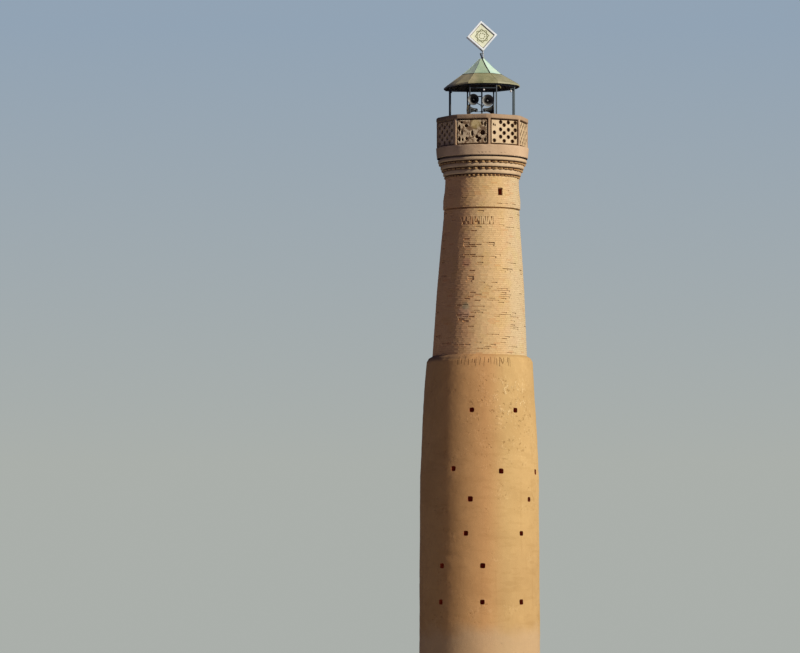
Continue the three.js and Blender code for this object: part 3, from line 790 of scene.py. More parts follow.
class OBJECT_OT_minaret_stage(bpy.types.Operator):
    """Make the floor, the light and the camera"""

    bl_idname = "object.minaret_stage"
    bl_label = "Stage"

    def execute(self, context):
        self.floor()
        self.light(context)
        self.sky(context)
        self.camera(context)
        return {"FINISHED"}

    def floor(self):
        finish = Finish("stage_floor")
        tone = finish.noise(0.4, detail=2).band(0.3, 0.7)
        colour = finish.blend(tone, (0.50, 0.47, 0.42), (0.53, 0.50, 0.45))
        material = finish.surface(colour, 0.95)
        count, radius, drop = 96, 60, 0.3
        rim = [outwards(360 * i / count) * radius for i in range(count)]
        points = [point - raised(depth) for depth in (0.002, drop) for point in rim]
        faces = [tuple(range(count)), tuple(reversed(range(count, 2 * count)))]
        faces += [(i, count + i, count + (i + 1) % count, (i + 1) % count) for i in range(count)]
        mesh_object("floor", points, faces, material, smooth=False)

    def light(self, context):
        sun = bpy.data.lights.new("sun", "SUN")
        sun.energy = SUN["strength"]
        sun.color = SUN["colour"]
        sun.angle = math.radians(SUN["spread"])
        lamp = bpy.data.objects.new("sun", sun)
        elevation = math.radians(SUN["elevation"])
        way = outwards(SUN["azimuth"]) * math.cos(elevation) + raised(math.sin(elevation))
        lamp.rotation_euler = way.to_track_quat("Z", "Y").to_euler()
        context.scene.collection.objects.link(lamp)
        context.scene.view_settings.view_transform = "Standard"

    def sky(self, context):
        """The background that the camera sees, and another one that fills the shade."""
        world = bpy.data.worlds.new("sky")
        world.use_nodes = True
        tree = world.node_tree
        place = add_node(tree, "ShaderNodeTexCoord")
        parts = add_node(tree, "ShaderNodeSeparateXYZ", None, {0: place.outputs["Generated"]})
        rise = add_node(tree, "ShaderNodeMapRange", None, {
            "Value": parts.outputs["Z"], "From Min": HAZE[0], "From Max": HAZE[1]})
        shade = add_node(tree, "ShaderNodeMix", {"data_type": "RGBA"}, {
            0: rise.outputs["Result"], 6: opaque(HORIZON_COLOUR), 7: opaque(SKY_COLOUR)})
        shown = tree.nodes["Background"]
        feed(tree, shown.inputs["Color"], shade.outputs[2])
        fill = add_node(tree, "ShaderNodeBackground", None, {"Color": opaque(FILL_COLOUR)})
        path = add_node(tree, "ShaderNodeLightPath")
        mix = add_node(tree, "ShaderNodeMixShader", None, {
            0: path.outputs["Is Camera Ray"], 1: fill.outputs[0], 2: shown.outputs[0]})
        feed(tree, tree.nodes["World Output"].inputs["Surface"], mix.outputs[0])
        context.scene.world = world

    def camera(self, context):
        data = bpy.data.cameras.new("camera")
        data.sensor_width = 36
        data.lens = data.sensor_width * FOCAL_PIXELS / PICTURE_WIDTH
        data.clip_end = 1000
        yaw = math.atan2(AXIS_COLUMN - PICTURE_WIDTH / 2, FOCAL_PIXELS)
        camera = bpy.data.objects.new("camera", data)
        camera.location = (0, -CAMERA_DISTANCE, CAMERA_HEIGHT)
        camera.rotation_euler = (math.pi / 2 + CAMERA_PITCH, 0, yaw)
        context.scene.collection.objects.link(camera)
        context.scene.camera = camera


class OBJECT_OT_minaret_plaster(bpy.types.Operator):
    """Make the plastered lower stage with its scaffold sockets and doorway"""

    bl_idname = "object.minaret_plaster"
    bl_label = "Plastered stage"

    columns = 300
    step = 0.048
    worn_edge = 0.045
    overshoot = 0.2

    def execute(self, context):
        colours = context.scene.minaret_colours
        material = plaster_finish(colours)
        outer = evenly(PLASTER_OUTLINE, self.step)
        inner = [(WELL_RADIUS, height) for height in (PLASTER_TOP, 9, 6, 3, 0)]
        skin = revolved("plaster_skin", outer + inner, self.columns, material, self.relief)
        skin.data.materials.append(socket_finish())
        cut(skin, self.cutters(skin.data.materials))
        cut(skin, self.open_joints(skin.data.materials))
        skin.data.shade_smooth()
        skin.data.set_sharp_from_angle(angle=math.radians(50))
        settle(skin, "mud_plaster", *nodes_named("foot_wall", "plaster_wall", "door_head"))
        dress(material, "base_floor")
        return {"FINISHED"}

    def relief(self, azimuth, radius, height):
        """Swellings of a wall plastered by hand; the well is left plain."""
        if radius <= WELL_RADIUS or height <= 0 or height >= PLASTER_TOP:
            return 0
        place = on_wall(azimuth, radius, height)
        broad = noise.noise(place * 0.55) * 0.013
        trowel = noise.noise(Vector((place.x * 2.3, place.y * 2.3, place.z * 3.6))) * 0.006
        rough = noise.noise(place * 9) * 0.0022
        rim = smooth_step(height, PLASTER_TOP - 0.3, PLASTER_TOP - 0.1)
        crumbled = max(noise.noise(Vector((azimuth * 0.11, 3, height * 2))), 0) * 0.03 * rim
        return broad + trowel + rough - crumbled

    def cutters(self, materials):
        """The sockets, a little uneven, and the doorway, all with their edges worn round."""
        chance = random.Random(4)
        shapes = []
        for height, azimuths in SOCKET_ROWS:
            face = radius_at(PLASTER_OUTLINE, height)
            for seen in azimuths:
                for azimuth in (seen, seen + 180):
                    centre = on_wall(azimuth, face + (self.overshoot - SOCKET_DEPTH) / 2, height)
                    tilt = Euler((0, chance.gauss(0, 0.03), math.radians(azimuth)))
                    width = SOCKET_SIZE + chance.uniform(-0.012, 0.012)
                    tall = SOCKET_SIZE + chance.uniform(-0.012, 0.02)
                    hole = block(centre, (width, SOCKET_DEPTH + self.overshoot, tall), tilt, taper=0.12)
                    shapes.append(hole.in_slot(1))
        size = (DOORWAY["width"], 1.6, DOORWAY["top"] + 0.2)
        shapes.append(block(Vector((0, 1.5, DOORWAY["top"] / 2 - 0.1)), size))
        cutter = joined_mesh("cutter", shapes, *materials)
        bevel = cutter.modifiers.new("corners", "BEVEL")
        bevel.width = self.worn_edge
        bevel.segments = 4
        return with_modifiers(cutter)

    def open_joints(self, materials):
        """Narrow upright gaps where the brick edging shows through the shoulder."""
        chance = random.Random(9)
        first, last, bottom, top = LOOSE_EDGING
        shapes = []
        azimuth = first
        while azimuth < last:
            low = chance.uniform(bottom, bottom + 0.14)
            high = chance.uniform(top - 0.14, top)
            height = (low + high) / 2
            face = radius_at(PLASTER_OUTLINE, height)
            tilt = Euler((math.radians(-chance.uniform(8, 16)), chance.gauss(0, 0.16), math.radians(azimuth)))
            centre = on_wall(azimuth, face + 0.01, height)
            size = (chance.uniform(0.01, 0.026), chance.uniform(0.07, 0.13), high - low)
            shapes.append(block(centre, size, tilt))
            azimuth += chance.uniform(1.3, 4.6)
        return joined_mesh("cutter", shapes, *materials)


def plaster_finish(colours):
    finish = Finish("mud_plaster")
    height, across = finish.axis("Z"), finish.axis("X")
    cloud = finish.noise(0.7, detail=5, roughness=0.6)
    blotch = finish.noise(3.2, detail=4, roughness=0.6)
    streak = finish.noise((6, 6, 0.35), detail=4)
    straw = finish.noise((60, 60, 160), roughness=0.7)
    grit = finish.noise(55, detail=4, roughness=0.7)
    # Painted light and shade: paler plaster on the sunlit right, darker plaster at the far left, away from
    # the sun.
    colour = finish.toned(
        finish.blend(across.band(0.15, 0.95), colours.plaster, colours.plaster_sunlit),
        (across.band(-0.9, -1.5), (0.86, 0.92, 0.97)),
        (across.band(0.3, 0.9) * height.band(6.3, 4.4), (0.9, 0.88, 0.88)),
        (cloud.band(0.62, 0.3), (0.9, 0.88, 0.85)),
        (streak.band(0.55, 0.8) * 0.5, (0.84, 0.8, 0.76)),
        (blotch.band(0.5, 0.72) * 0.5, (1.1, 1.12, 1.14)))
    drift = finish.near("pitted", 0.9, 1.4).most(finish.noise(1.3).band(0.5, 0.65) * 0.7)
    scattered = finish.noise(2.6).band(0.47, 0.56) * drift
    clumps = finish.noise(3.4).band(0.46, 0.53)
    flaked = (finish.near("flaked", 0.3, 0.8) * clumps).most(scattered * 0.35)
    spots = finish.noise(10, roughness=0.6)
    chips = spots.band(0.55, 0.61) * flaked
    pits = spots.band(0.4, 0.34) * scattered.most(flaked)
    trowel = finish.noise((1.6, 1.6, 7)).band(0.54, 0.62)
    shoulder = height.band(11.3, 11.42)
    colour = finish.toned(
        colour,
        (chips, (1.36, 1.48, 1.75)),
        (pits * 0.8, (0.74, 0.66, 0.56)),
        (trowel * height.band(9, 8.4) * 0.5, (0.9, 0.88, 0.84)),
        # Painted shade: the shoulder is darker and bluer on the side away from the sun.
        (shoulder * across.band(-0.1, -0.9), (0.56, 0.58, 0.7)))
    foot = (height + finish.noise(1.1) * 0.8).band(FOOT_TOP + 0.8, FOOT_TOP + 0.1)
    colour = finish.blend(foot * 0.6, colour, (0.46, 0.33, 0.2))
    splash = (height + finish.noise(2.3) * 0.5).band(0.75, 0.25)
    colour = finish.blend(splash * 0.5, colour, (0.27, 0.2, 0.125))
    colour = finish.blend(straw.band(0.55, 0.75) * 0.2, colour, (0.66, 0.5, 0.28))
    relief = grit * 0.35 + straw * 0.25 + blotch * 0.5 - pits * 0.9 + chips * 0.9
    return finish.surface(colour, 0.94, relief, depth=0.012, Specular_IOR_Level=0.2)


def socket_finish():
    """Red dust and old mud inside the sockets; the emission stands for the light that the dust scatters."""
    finish = Finish("socket_inside")
    tone = finish.noise(9, detail=4)
    colour = finish.blend(tone.band(0.35, 0.7), (0.22, 0.05, 0.015), (0.34, 0.09, 0.03))
    return finish.surface(colour, 0.97, finish.noise(40),
                          Emission_Color=(0.017, 0.001, 0.0002, 1), Emission_Strength=1)


def hollow_shade_finish():
    """Near-black for the cores behind the cornice's teeth and for the drum's day joint: painted shade."""
    finish = Finish("cornice_hollows")
    colour = finish.blend(finish.noise(9).band(0.35, 0.65), (0.04, 0.009, 0.001), (0.07, 0.02, 0.003))
    return finish.surface(colour, 0.95, finish.noise(60), depth=0.003)


def masonry_colour(finish, colours):
    """What bricks and mortar share: painted light and shade by side, the stains and the patched places."""
    across = finish.axis("X")
    cloud = finish.noise(0.8, detail=4, roughness=0.6)
    stain = finish.noise((3, 3, 7), detail=4, roughness=0.65)
    # Painted light and shade: the brick colour changes from the shaded left to the sunlit right.
    colour = finish.blend(across.band(-0.6, 0.15), colours.brick_shade_side, colours.brick)
    colour = finish.toned(
        finish.blend(across.band(0.6, 1.3), colour, colours.brick_sun_side),
        (cloud.band(0.42, 0.7) * 0.5, (1.08, 1.1, 1.12)),
        (finish.noise(2.1).band(0.52, 0.66) * 0.7, (0.98, 0.98, 0.88)),
        (finish.noise(2.9).band(0.48, 0.36) * 0.7, (0.99, 0.94, 0.94)),
        (stain.band(0.56, 0.76) * 0.6, (0.82, 0.76, 0.7)))
    colour = finish.blend(finish.near("repair", 0.1, 0.12) * 0.55, colour, (0.5, 0.25, 0.16))
    colour = finish.blend(finish.near("patch", 0.14, 0.14) * 0.45, colour, (0.52, 0.32, 0.23))
    return finish.blend(finish.near("moss", 0.06, 0.12) * 0.5, colour, (0.28, 0.31, 0.2))


def brick_finish(name, colours, base=None):
    """Fired brick, with a tint of its own for each; without a base it shares the mortar's stains and painted
    side shading.
    """
    finish = Finish(name)
    tint = finish.attribute("tint")
    colour = finish.toned(
        masonry_colour(finish, colours) if base is None else base,
        (tint.band(0.5, 0.2), (0.93, 0.92, 0.9)),
        (tint.band(0.72, 0.85), (1.05, 1.06, 1.08)),
        (tint.band(0.24, 0.12), (1.02, 0.92, 0.88)))
    grit = finish.noise(70, detail=4, roughness=0.7)
    uneven = finish.noise((4, 4, 12), detail=4, roughness=0.6)
    return finish.surface(colour, 0.93, grit * 0.25 + uneven * 0.75, depth=0.014, Specular_IOR_Level=0.2)


def mortar_finish(colours):
    finish = Finish("mortar")
    pale = finish.noise(2.2, detail=4).band(0.68, 0.35)
    colour = finish.toned(masonry_colour(finish, colours), (pale, (0.97, 0.96, 0.94)))
    grit = finish.noise(60, detail=4, roughness=0.7)
    uneven = finish.noise((4, 4, 12), detail=4, roughness=0.6)
    return finish.surface(colour, 0.95, grit * 0.3 + uneven * 0.7, depth=0.014, Specular_IOR_Level=0.2)


def gypsum_finish(name, base, depth=None, lift=None):
    """Weathered gypsum plaster.

    Depth is an attribute that tells how far behind its face a point lies; lift is a height and how much
    brighter the plaster is below it.
    """
    finish = Finish(name)
    across = finish.axis("X")
    cloud = finish.noise(1.7, detail=5, roughness=0.6)
    blotch = finish.noise(6, detail=4, roughness=0.6)
    run = finish.noise((9, 9, 0.8), detail=4)
    grit = finish.noise(65, detail=4, roughness=0.7)
    colour = finish.toned(
        base,
        (cloud.band(0.7, 0.3), (0.86, 0.84, 0.82)),
        (blotch.band(0.55, 0.78) * 0.5, (0.74, 0.68, 0.62)),
        (run.band(0.58, 0.8) * 0.5, (0.7, 0.64, 0.58)),
        (blotch.band(0.42, 0.3) * 0.5, (1.1, 1.14, 1.18)))
    if depth:
        # Painted shade: the panels at the far left, away from the sun, are darker.
        colour = finish.toned(colour, (across.band(-0.8, -0.95), (0.68, 0.64, 0.62)))
        # Dark brown smears over the front-left panel.
        front_left_span = across.band(-0.86, -0.8) * across.band(0.32, 0.26)
        smears = finish.noise(5, detail=5, roughness=0.65, distortion=0.8).band(0.46, 0.53) * front_left_span
        colour = finish.toned(
            finish.blend(smears * 0.8, colour, (0.12, 0.05, 0.016)),
            (across.band(1.0, 1.2), (0.84, 0.8, 0.74)),
            (across.band(0.25, 0.35), (0.93, 0.91, 0.88)))
        colour = finish.blend(finish.near("panel_patch", 0.1, 0.12) * 0.5, colour, (0.6, 0.47, 0.16))
        # Painted shade: points deep in the holes turn near-black, more so on the left, away from the sun.
        painted_hollow_shading = finish.attribute(depth).band(0.01, 0.035) * (across.band(-0.95, -0.8) * 0.72 + 0.2)
        colour = finish.blend(painted_hollow_shading, colour, (0.06, 0.018, 0.004))
    else:
        # Painted shade: darker at the far left, away from the sun.
        colour = finish.toned(colour, (across.band(-0.9, -1.45), (0.66, 0.68, 0.66)))
    if lift:
        height, gain = lift
        below = finish.axis("Z").band(height + 0.01, height - 0.01)
        colour = finish.toned(
            colour,
            (below, (gain, gain, gain)),
            # Painted shade: the coping is darker and bluer on the left, away from the sun.
            (across.band(-0.2, -0.7) * below.band(0.6, 0.4), (0.62, 0.62, 0.66)))
    return finish.surface(colour, 0.93, grit * 0.5 + blotch * 0.5, depth=0.006, Specular_IOR_Level=0.2)


def paint_finish(name, base, rust=0.3, roughness=0.5, facets=None):
    """Sun-bleached paint on steel, with dust above and rust where it has worn."""
    finish = Finish(name)
    cloud = finish.noise(3, detail=4, roughness=0.6)
    fade = finish.noise(11, detail=4, roughness=0.6)
    flake = finish.noise(34, detail=5, roughness=0.7)
    up = finish.node("ShaderNodeSeparateXYZ", None, {
        0: finish.node("ShaderNodeNewGeometry", output="Normal")}, output="Z")
    colour = finish.toned(
        facets(finish, base) if facets else base,
        (cloud.band(0.7, 0.3), (0.8, 0.8, 0.8)),
        (fade.band(0.5, 0.8) * 0.4, (1.3, 1.3, 1.3)))
    worn = (flake * 0.6 + fade * 0.4).band(0.62, 0.7) * rust
    colour = finish.blend(worn, colour, (0.13, 0.055, 0.025))
    dust = up.band(0.2, 0.95) * cloud.band(0.35, 0.7)
    colour = finish.blend(dust * 0.3, colour, (0.42, 0.35, 0.22))
    shine = worn * 0.35 + dust * 0.2 + fade * 0.15 + (roughness - 0.08)
    return finish.surface(colour, shine, flake * 0.5 + cloud * 0.5, depth=0.0012)


def cap_facets(finish, base):
    """The cap is nearly white on the sun's side, a painted highlight, and pale green on the shaded side, a
    painted reflection of the sky.
    """
    across, rise = finish.axis("X"), finish.axis("Z") - BREAK_HEIGHT
    colour = finish.toned(base, ((across + rise * 0.463).band(0.372, 0.392), (1.45, 1.45, 1.75)))
    return finish.blend((across - rise * 0.3845).band(-0.135, -0.155), colour, (0.77, 1, 0.77))


def skirt_facets(finish, base):
    # Painted light and shade by side: paler towards the sun, lighter left of the front, where the sheets face
    # away from it, and dark at the far left.
    across = finish.axis("X")
    colour = finish.blend(across.band(0.4, 0.8) * 0.6, base, (0.34, 0.34, 0.23))
    colour = finish.blend(across.band(0.1, -0.25) * 0.7, colour, (0.43, 0.375, 0.21))
    colour = finish.toned(colour, (across.band(-0.28, -0.36), (1.3, 1.3, 1.3)))
    return finish.blend(across.band(-0.72, -0.95), colour, (0.17, 0.19, 0.165))


def flare_facets(mouth):
    """Darkens the upper right of a horn's flare: painted shade."""
    def facets(finish, base):
        aside = finish.axis("X") - mouth[0] + (finish.axis("Z") - mouth[2])
        return finish.toned(base, (aside.band(-0.02, 0.06), (0.12, 0.12, 0.13)))
    return facets


def steel_facets(finish, base):
    """Darker towards the left, away from the sun, and lighter at the far right: painted shade and painted
    light.
    """
    across = finish.axis("X")
    return finish.toned(
        base, (across.band(0.5, -0.6), (0.2, 0.18, 0.2)), (across.band(0.7, 1), (1.5, 1.6, 1.6)))


def underside_finish():
    """Near-black under the roof, with faint grain and stains: painted shade."""
    finish = Finish("roof_underside")
    grain = finish.noise((4, 4, 30), detail=4)
    stain = finish.noise(5, detail=4)
    colour = finish.blend(grain.band(0.3, 0.7), (0.012, 0.009, 0.008), (0.022, 0.018, 0.014))
    colour = finish.blend(stain.band(0.55, 0.75) * 0.5, colour, (0.035, 0.02, 0.013))
    return finish.surface(colour, 0.85, grain * 0.6 + stain * 0.4, depth=0.003)


class OBJECT_OT_minaret_brickwork(bpy.types.Operator):
    """Lay the brick stage, with its mortar, ring groove and light slot"""

    bl_idname = "object.minaret_brickwork"
    bl_label = "Brick stage"

    columns = 96
    lap = 0.012
    foot_lap = 0.02

    def execute(self, context):
        colours, sizes = context.scene.minaret_colours, context.scene.minaret_sizes
        mortar = mortar_finish(colours)
        settle(self.core(mortar, sizes), "brickwork", *nodes_named("brick_wall", "slot_"))
        shaft = Masonry(sizes, 11)
        self.rise(shaft, SHAFT_OUTLINE)
        self.rise(shaft, NECK_OUTLINE)
        shaft.soldiers(SHAFT_OUTLINE, *LOOSE_BAND)
        bricks = brick_finish("buff_brick", colours)
        settle(lay("shaft_bricks", shaft.bricks, brick_unit(), bricks, wear=0.005, grain=14), "brickwork")
        settle(lay("shaft_mortar", shaft.mortar, brick_unit(), mortar, wear=0.004, grain=14), "brickwork")
        return {"FINISHED"}

    def core(self, material, sizes):
        """The wall behind the bricks, closed round the well, with the light slot cut."""
        back, foot = sizes.depth - self.lap, PLASTER_TOP - self.foot_lap
        outer = [(radius - back, height) for radius, height in SHAFT_OUTLINE]
        outer[0] = (outer[0][0], foot)
        outer += [(GROOVE_RADIUS, GROOVE_BOTTOM), (GROOVE_RADIUS, NECK_BOTTOM)]
        outer += [(radius - back, height) for radius, height in NECK_OUTLINE]
        inner = [(WELL_RADIUS, CORNICE_BOTTOM), (WELL_RADIUS, 14), (WELL_RADIUS, foot)]
        core = revolved("brick_core", evenly(outer, 0.3) + inner, self.columns, material)
        # The slot's cut faces take the sockets' dark red with its painted glow.
        slot, painted_hollow_shading = LIGHT_SLOT, bpy.data.materials["socket_inside"]
        centre = on_wall(slot["azimuth"], 1.1, slot["height"])
        turn = Euler((0, 0, math.radians(slot["azimuth"])))
        hole = block(centre, (slot["width"], 0.7, slot["tall"]), turn).in_slot(1)
        core.data.materials.append(painted_hollow_shading)
        return cut(core, joined_mesh("cutter", [hole], material, painted_hollow_shading))

    def rise(self, masonry, outline):
        """Lays courses up to the top of an outline, each as high as makes them fit."""
        bottom, top = outline[0][1], outline[-1][1]
        sizes = masonry.sizes
        count = round((top - bottom) / (sizes.thick + sizes.joint))
        rise = (top - bottom) / count
        for i in range(count):
            masonry.course(outline, bottom + i * rise, rise - sizes.joint, self.wear)

    def wear(self, azimuth, height):
        """Where the weather has taken mortar: sparse dashes, in drifts."""
        place = Vector((azimuth * 0.035, 7, height * 1.1))
        drift = noise.noise(place) * 0.5 + noise.noise(place * 3.1) * 0.5
        facing = smooth_step(azimuth, -28, -14) * smooth_step(-azimuth, -48, -30)
        low = smooth_step(-height, -14.6, -13.4) * facing
        return 0.02 + (0.1 + 0.13 * facing) * smooth_step(drift, -0.05 - 0.3 * low, 0.4 - 0.2 * low)


class OBJECT_OT_minaret_cornice(bpy.types.Operator):
    """Lay the three toothed rings and the smooth drum over them"""

    bl_idname = "object.minaret_cornice"
    bl_label = "Cornice and drum"

    columns = 240
    core_columns = 144
    core_lap = 0.01
    tooth_lap = 0.004
    shadow_gap = 0.034
    rounding = [(0.03, 0), (0.009, 0.007), (0, 0.028)]
    skin = 0.002

    def execute(self, context):
        colours = context.scene.minaret_colours
        bricks = brick_finish("cornice_brick", colours, colours.cornice_brick)
        render = gypsum_finish("cornice_render", colours.cornice)
        painted_hollow_shading = hollow_shade_finish()
        for index, (name, bottom, top, radius, teeth, bite) in enumerate(CORNICE_RINGS):
            level = bottom + TOOTH_HEIGHT
            valley = radius - TOOTH_SETBACK - bite
            core_top = level + self.core_lap
            core = [(valley, bottom), (valley, core_top), (WELL_RADIUS, core_top), (WELL_RADIUS, bottom)]
            # The core behind the teeth is near-black: painted shade.
            settle(revolved(f"cornice_core_{name}", core, self.core_columns, painted_hollow_shading), "brickwork")
            self.band(name, level, top, radius, valley, render)
            self.teeth(name, bottom, radius, teeth, bite, bricks, 20 + index)
        self.drum(gypsum_finish("drum_plaster", colours.drum), painted_hollow_shading)
        return {"FINISHED"}

    def band(self, name, level, top, radius, valley, material):
        """The plain band over the teeth, with worn edges; the upper one has a throat under the drum."""
        band_top = top - THROAT_HEIGHT if name == "upper" else top
        section = [(valley - 0.03, level)] + [(radius - back, level + rise) for back, rise in self.rounding]
        section += [(radius - back, band_top - drop) for back, drop in reversed(self.rounding)]
        if name == "upper":
            section += [(THROAT_RADIUS, band_top), (THROAT_RADIUS, top)]
        section += [(WELL_RADIUS, top), (WELL_RADIUS, level)]

        def uneven(azimuth, reach, height):
            if reach < valley:
                return 0
            place = on_wall(azimuth, reach, height)
            return noise.noise(place * 1.6) * 0.006 + noise.noise(place * 7) * 0.005 - 0.003

        band = revolved(f"cornice_band_{name}", section, self.columns, material, uneven)
        settle(band, "brickwork", f"cornice_ring_{name}")

    def teeth(self, name, bottom, radius, count, bite, material, seed):
        """Bricks laid with a corner out, each a little out of line."""
        chance = random.Random(seed)
        width = 2 * math.pi * (radius - bite) / count
        tall = TOOTH_HEIGHT - self.shadow_gap
        rows = []
        for i in range(count):
            azimuth = 360 / count * i + chance.gauss(0, 0.2)
            reach = radius - TOOTH_SETBACK - 0.01 - abs(chance.gauss(0, 0.004))
            facing = (chance.gauss(0, 0.01), 0, math.radians(azimuth) + chance.gauss(0, 0.03))
            size = (width * chance.uniform(0.86, 0.96), bite + self.tooth_lap,
                    tall - chance.uniform(0, 0.006))
            rows.append((on_wall(azimuth, reach, bottom + tall / 2), facing, size, chance.random()))
        laid = lay(f"cornice_teeth_{name}", rows, tooth_unit(), material, wear=0.006, grain=16, seed=seed)
        settle(laid, "brickwork")

    def drum(self, material, painted_hollow_shading):
        """The smooth face under the parapet, with a faint day joint round it."""
        (low_radius, low), (high_radius, high) = DRUM_OUTLINE
        face = evenly([(low_radius + self.skin, low), (high_radius + self.skin, high)], 0.035)
        section = [(DRUM_INNER_RADIUS, low)] + face + [(DRUM_INNER_RADIUS, high + 0.001)]

        def relief(azimuth, radius, height):
            if radius <= DRUM_INNER_RADIUS:
                return 0
            place = on_wall(azimuth, radius, height)
            rim = smooth_step(height, high - 0.05, high) * max(noise.noise(place * 5), 0) * 0.03
            return noise.noise(place * 1.4) * 0.006 + noise.noise(place * 8) * 0.003 - rim

        drum = revolved("drum_face", section, self.columns, material, relief)
        # The day joint's cut faces take the near-black of the hollows: painted shade.
        drum.data.materials.append(painted_hollow_shading)
        cut(drum, self.day_joint(drum.data.materials))
        settle(drum, "drum_plaster")
        dress(material, "gallery_floor")

    def day_joint(self, materials):
        """A broken line in the drum's face where two days' work meet."""
        chance = random.Random(31)
        shapes = []
        for azimuth in DAY_JOINT["azimuths"]:
            height = DAY_JOINT["height"] + chance.uniform(-0.012, 0.012)
            centre = on_wall(azimuth, DAY_JOINT["radius"], height)
            tilt = Euler((0, chance.gauss(0, 0.12), math.radians(azimuth)))
            size = (chance.uniform(0.05, 0.1), 0.04, chance.uniform(0.008, 0.016))
            shapes.append(block(centre, size, tilt).in_slot(1))
        return joined_mesh("cutter", shapes, *materials)


class OBJECT_OT_minaret_parapet(bpy.types.Operator):
    """Plaster the coping and piers, and make the panels with their small deep holes"""

    bl_idname = "object.minaret_parapet"
    bl_label = "Parapet"

    frame_voxel = 0.0145
    panel_voxel = 0.011
    let_in = (0.025, 0.015)
    face_share = 0.95

    # Vector noise starts from the clock where it is given no seed.
    seed = 7

    def execute(self, context):
        noise.seed_set(self.seed)
        colours = context.scene.minaret_colours
        plaster = gypsum_finish("parapet_plaster", colours.parapet, lift=(COPING_TOP - 0.15, 1.18))
        gypsum = gypsum_finish("pierced_panel", colours.panel, "depth")
        self.rounded("parapet_frame", self.frame_voxel, plaster, "parapet_plaster")
        for name in nodes_named("parapet_panel"):
            self.measured(self.rounded(name, self.panel_voxel, gypsum, "pierced_panel"))
        return {"FINISHED"}

    def measured(self, panel):
        """Lets a panel into its piers, and notes on each of its points how far behind its face that lies."""
        mesh = panel.data
        middle = sum((vertex.co for vertex in mesh.vertices), Vector()) / len(mesh.vertices)
        away = Vector((middle.x - LEAN_AT_TOP, middle.y, 0)).normalized()
        along = Vector((-away.y, away.x, 0))
        for vertex in mesh.vertices:
            from_middle = vertex.co - middle
            vertex.co += along * from_middle.dot(along) * self.let_in[0]
            vertex.co += raised(from_middle.z * self.let_in[1])
        reach = [vertex.co.dot(away) for vertex in mesh.vertices]
        face = sorted(reach)[int(len(reach) * self.face_share)]
        layer = mesh.attributes.new("depth", "FLOAT", "POINT")
        layer.data.foreach_set("value", [face - value for value in reach])

    def rounded(self, node, voxel, material, slot):
        """A hand-worked copy of a node: its edges rounded and its faces uneven."""
        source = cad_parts[node]
        piece = bpy.data.objects.new(node.replace("parapet", "worked_parapet"), source.data.copy())
        bpy.context.scene.collection.objects.link(piece)
        weld = piece.modifiers.new("weld", "WELD")
        weld.merge_threshold = 0.0002
        remesh = piece.modifiers.new("remesh", "REMESH")
        remesh.mode = "VOXEL"
        remesh.voxel_size = voxel
        soften = piece.modifiers.new("soften", "SMOOTH")
        soften.factor = 0.5
        soften.iterations = 3
        with_modifiers(piece)
        for vertex in piece.data.vertices:
            place = vertex.co
            push = noise.noise_vector(place * 6) * 0.004 + noise.noise_vector(place * 19) * 0.002
            vertex.co = place + push
        piece.data.shade_smooth()
        piece.data.materials.clear()
        piece.data.materials.append(material)
        return settle(piece, slot, node)


def roof_corner(step, radius, height):
    """A point of the roof, a whole number of sixteenths of a turn from a corner post."""
    out = min(max((radius - BREAK_RADIUS) / (EAVE["radius"] - BREAK_RADIUS), 0), 1)
    flat = 1 if step % 2 == 0 else math.cos(math.pi / SIDES)
    reach = radius * (flat + (1 - flat) * out * EAVE["rounding"])
    way = outwards(PAVILION_PHASE + step * 180 / SIDES)
    bend = (EAVE["left"] if way.x < 0 else EAVE["right"]) * way.x ** 2 * out
    return way * reach + Vector((PAVILION_X, 0, height + bend))


def roof_point(step, radius, height):
    """A point of the roof between two of its corners."""
    low = math.floor(step)
    first, second = roof_corner(low, radius, height), roof_corner(low + 1, radius, height)
    return first.lerp(second, step - low)


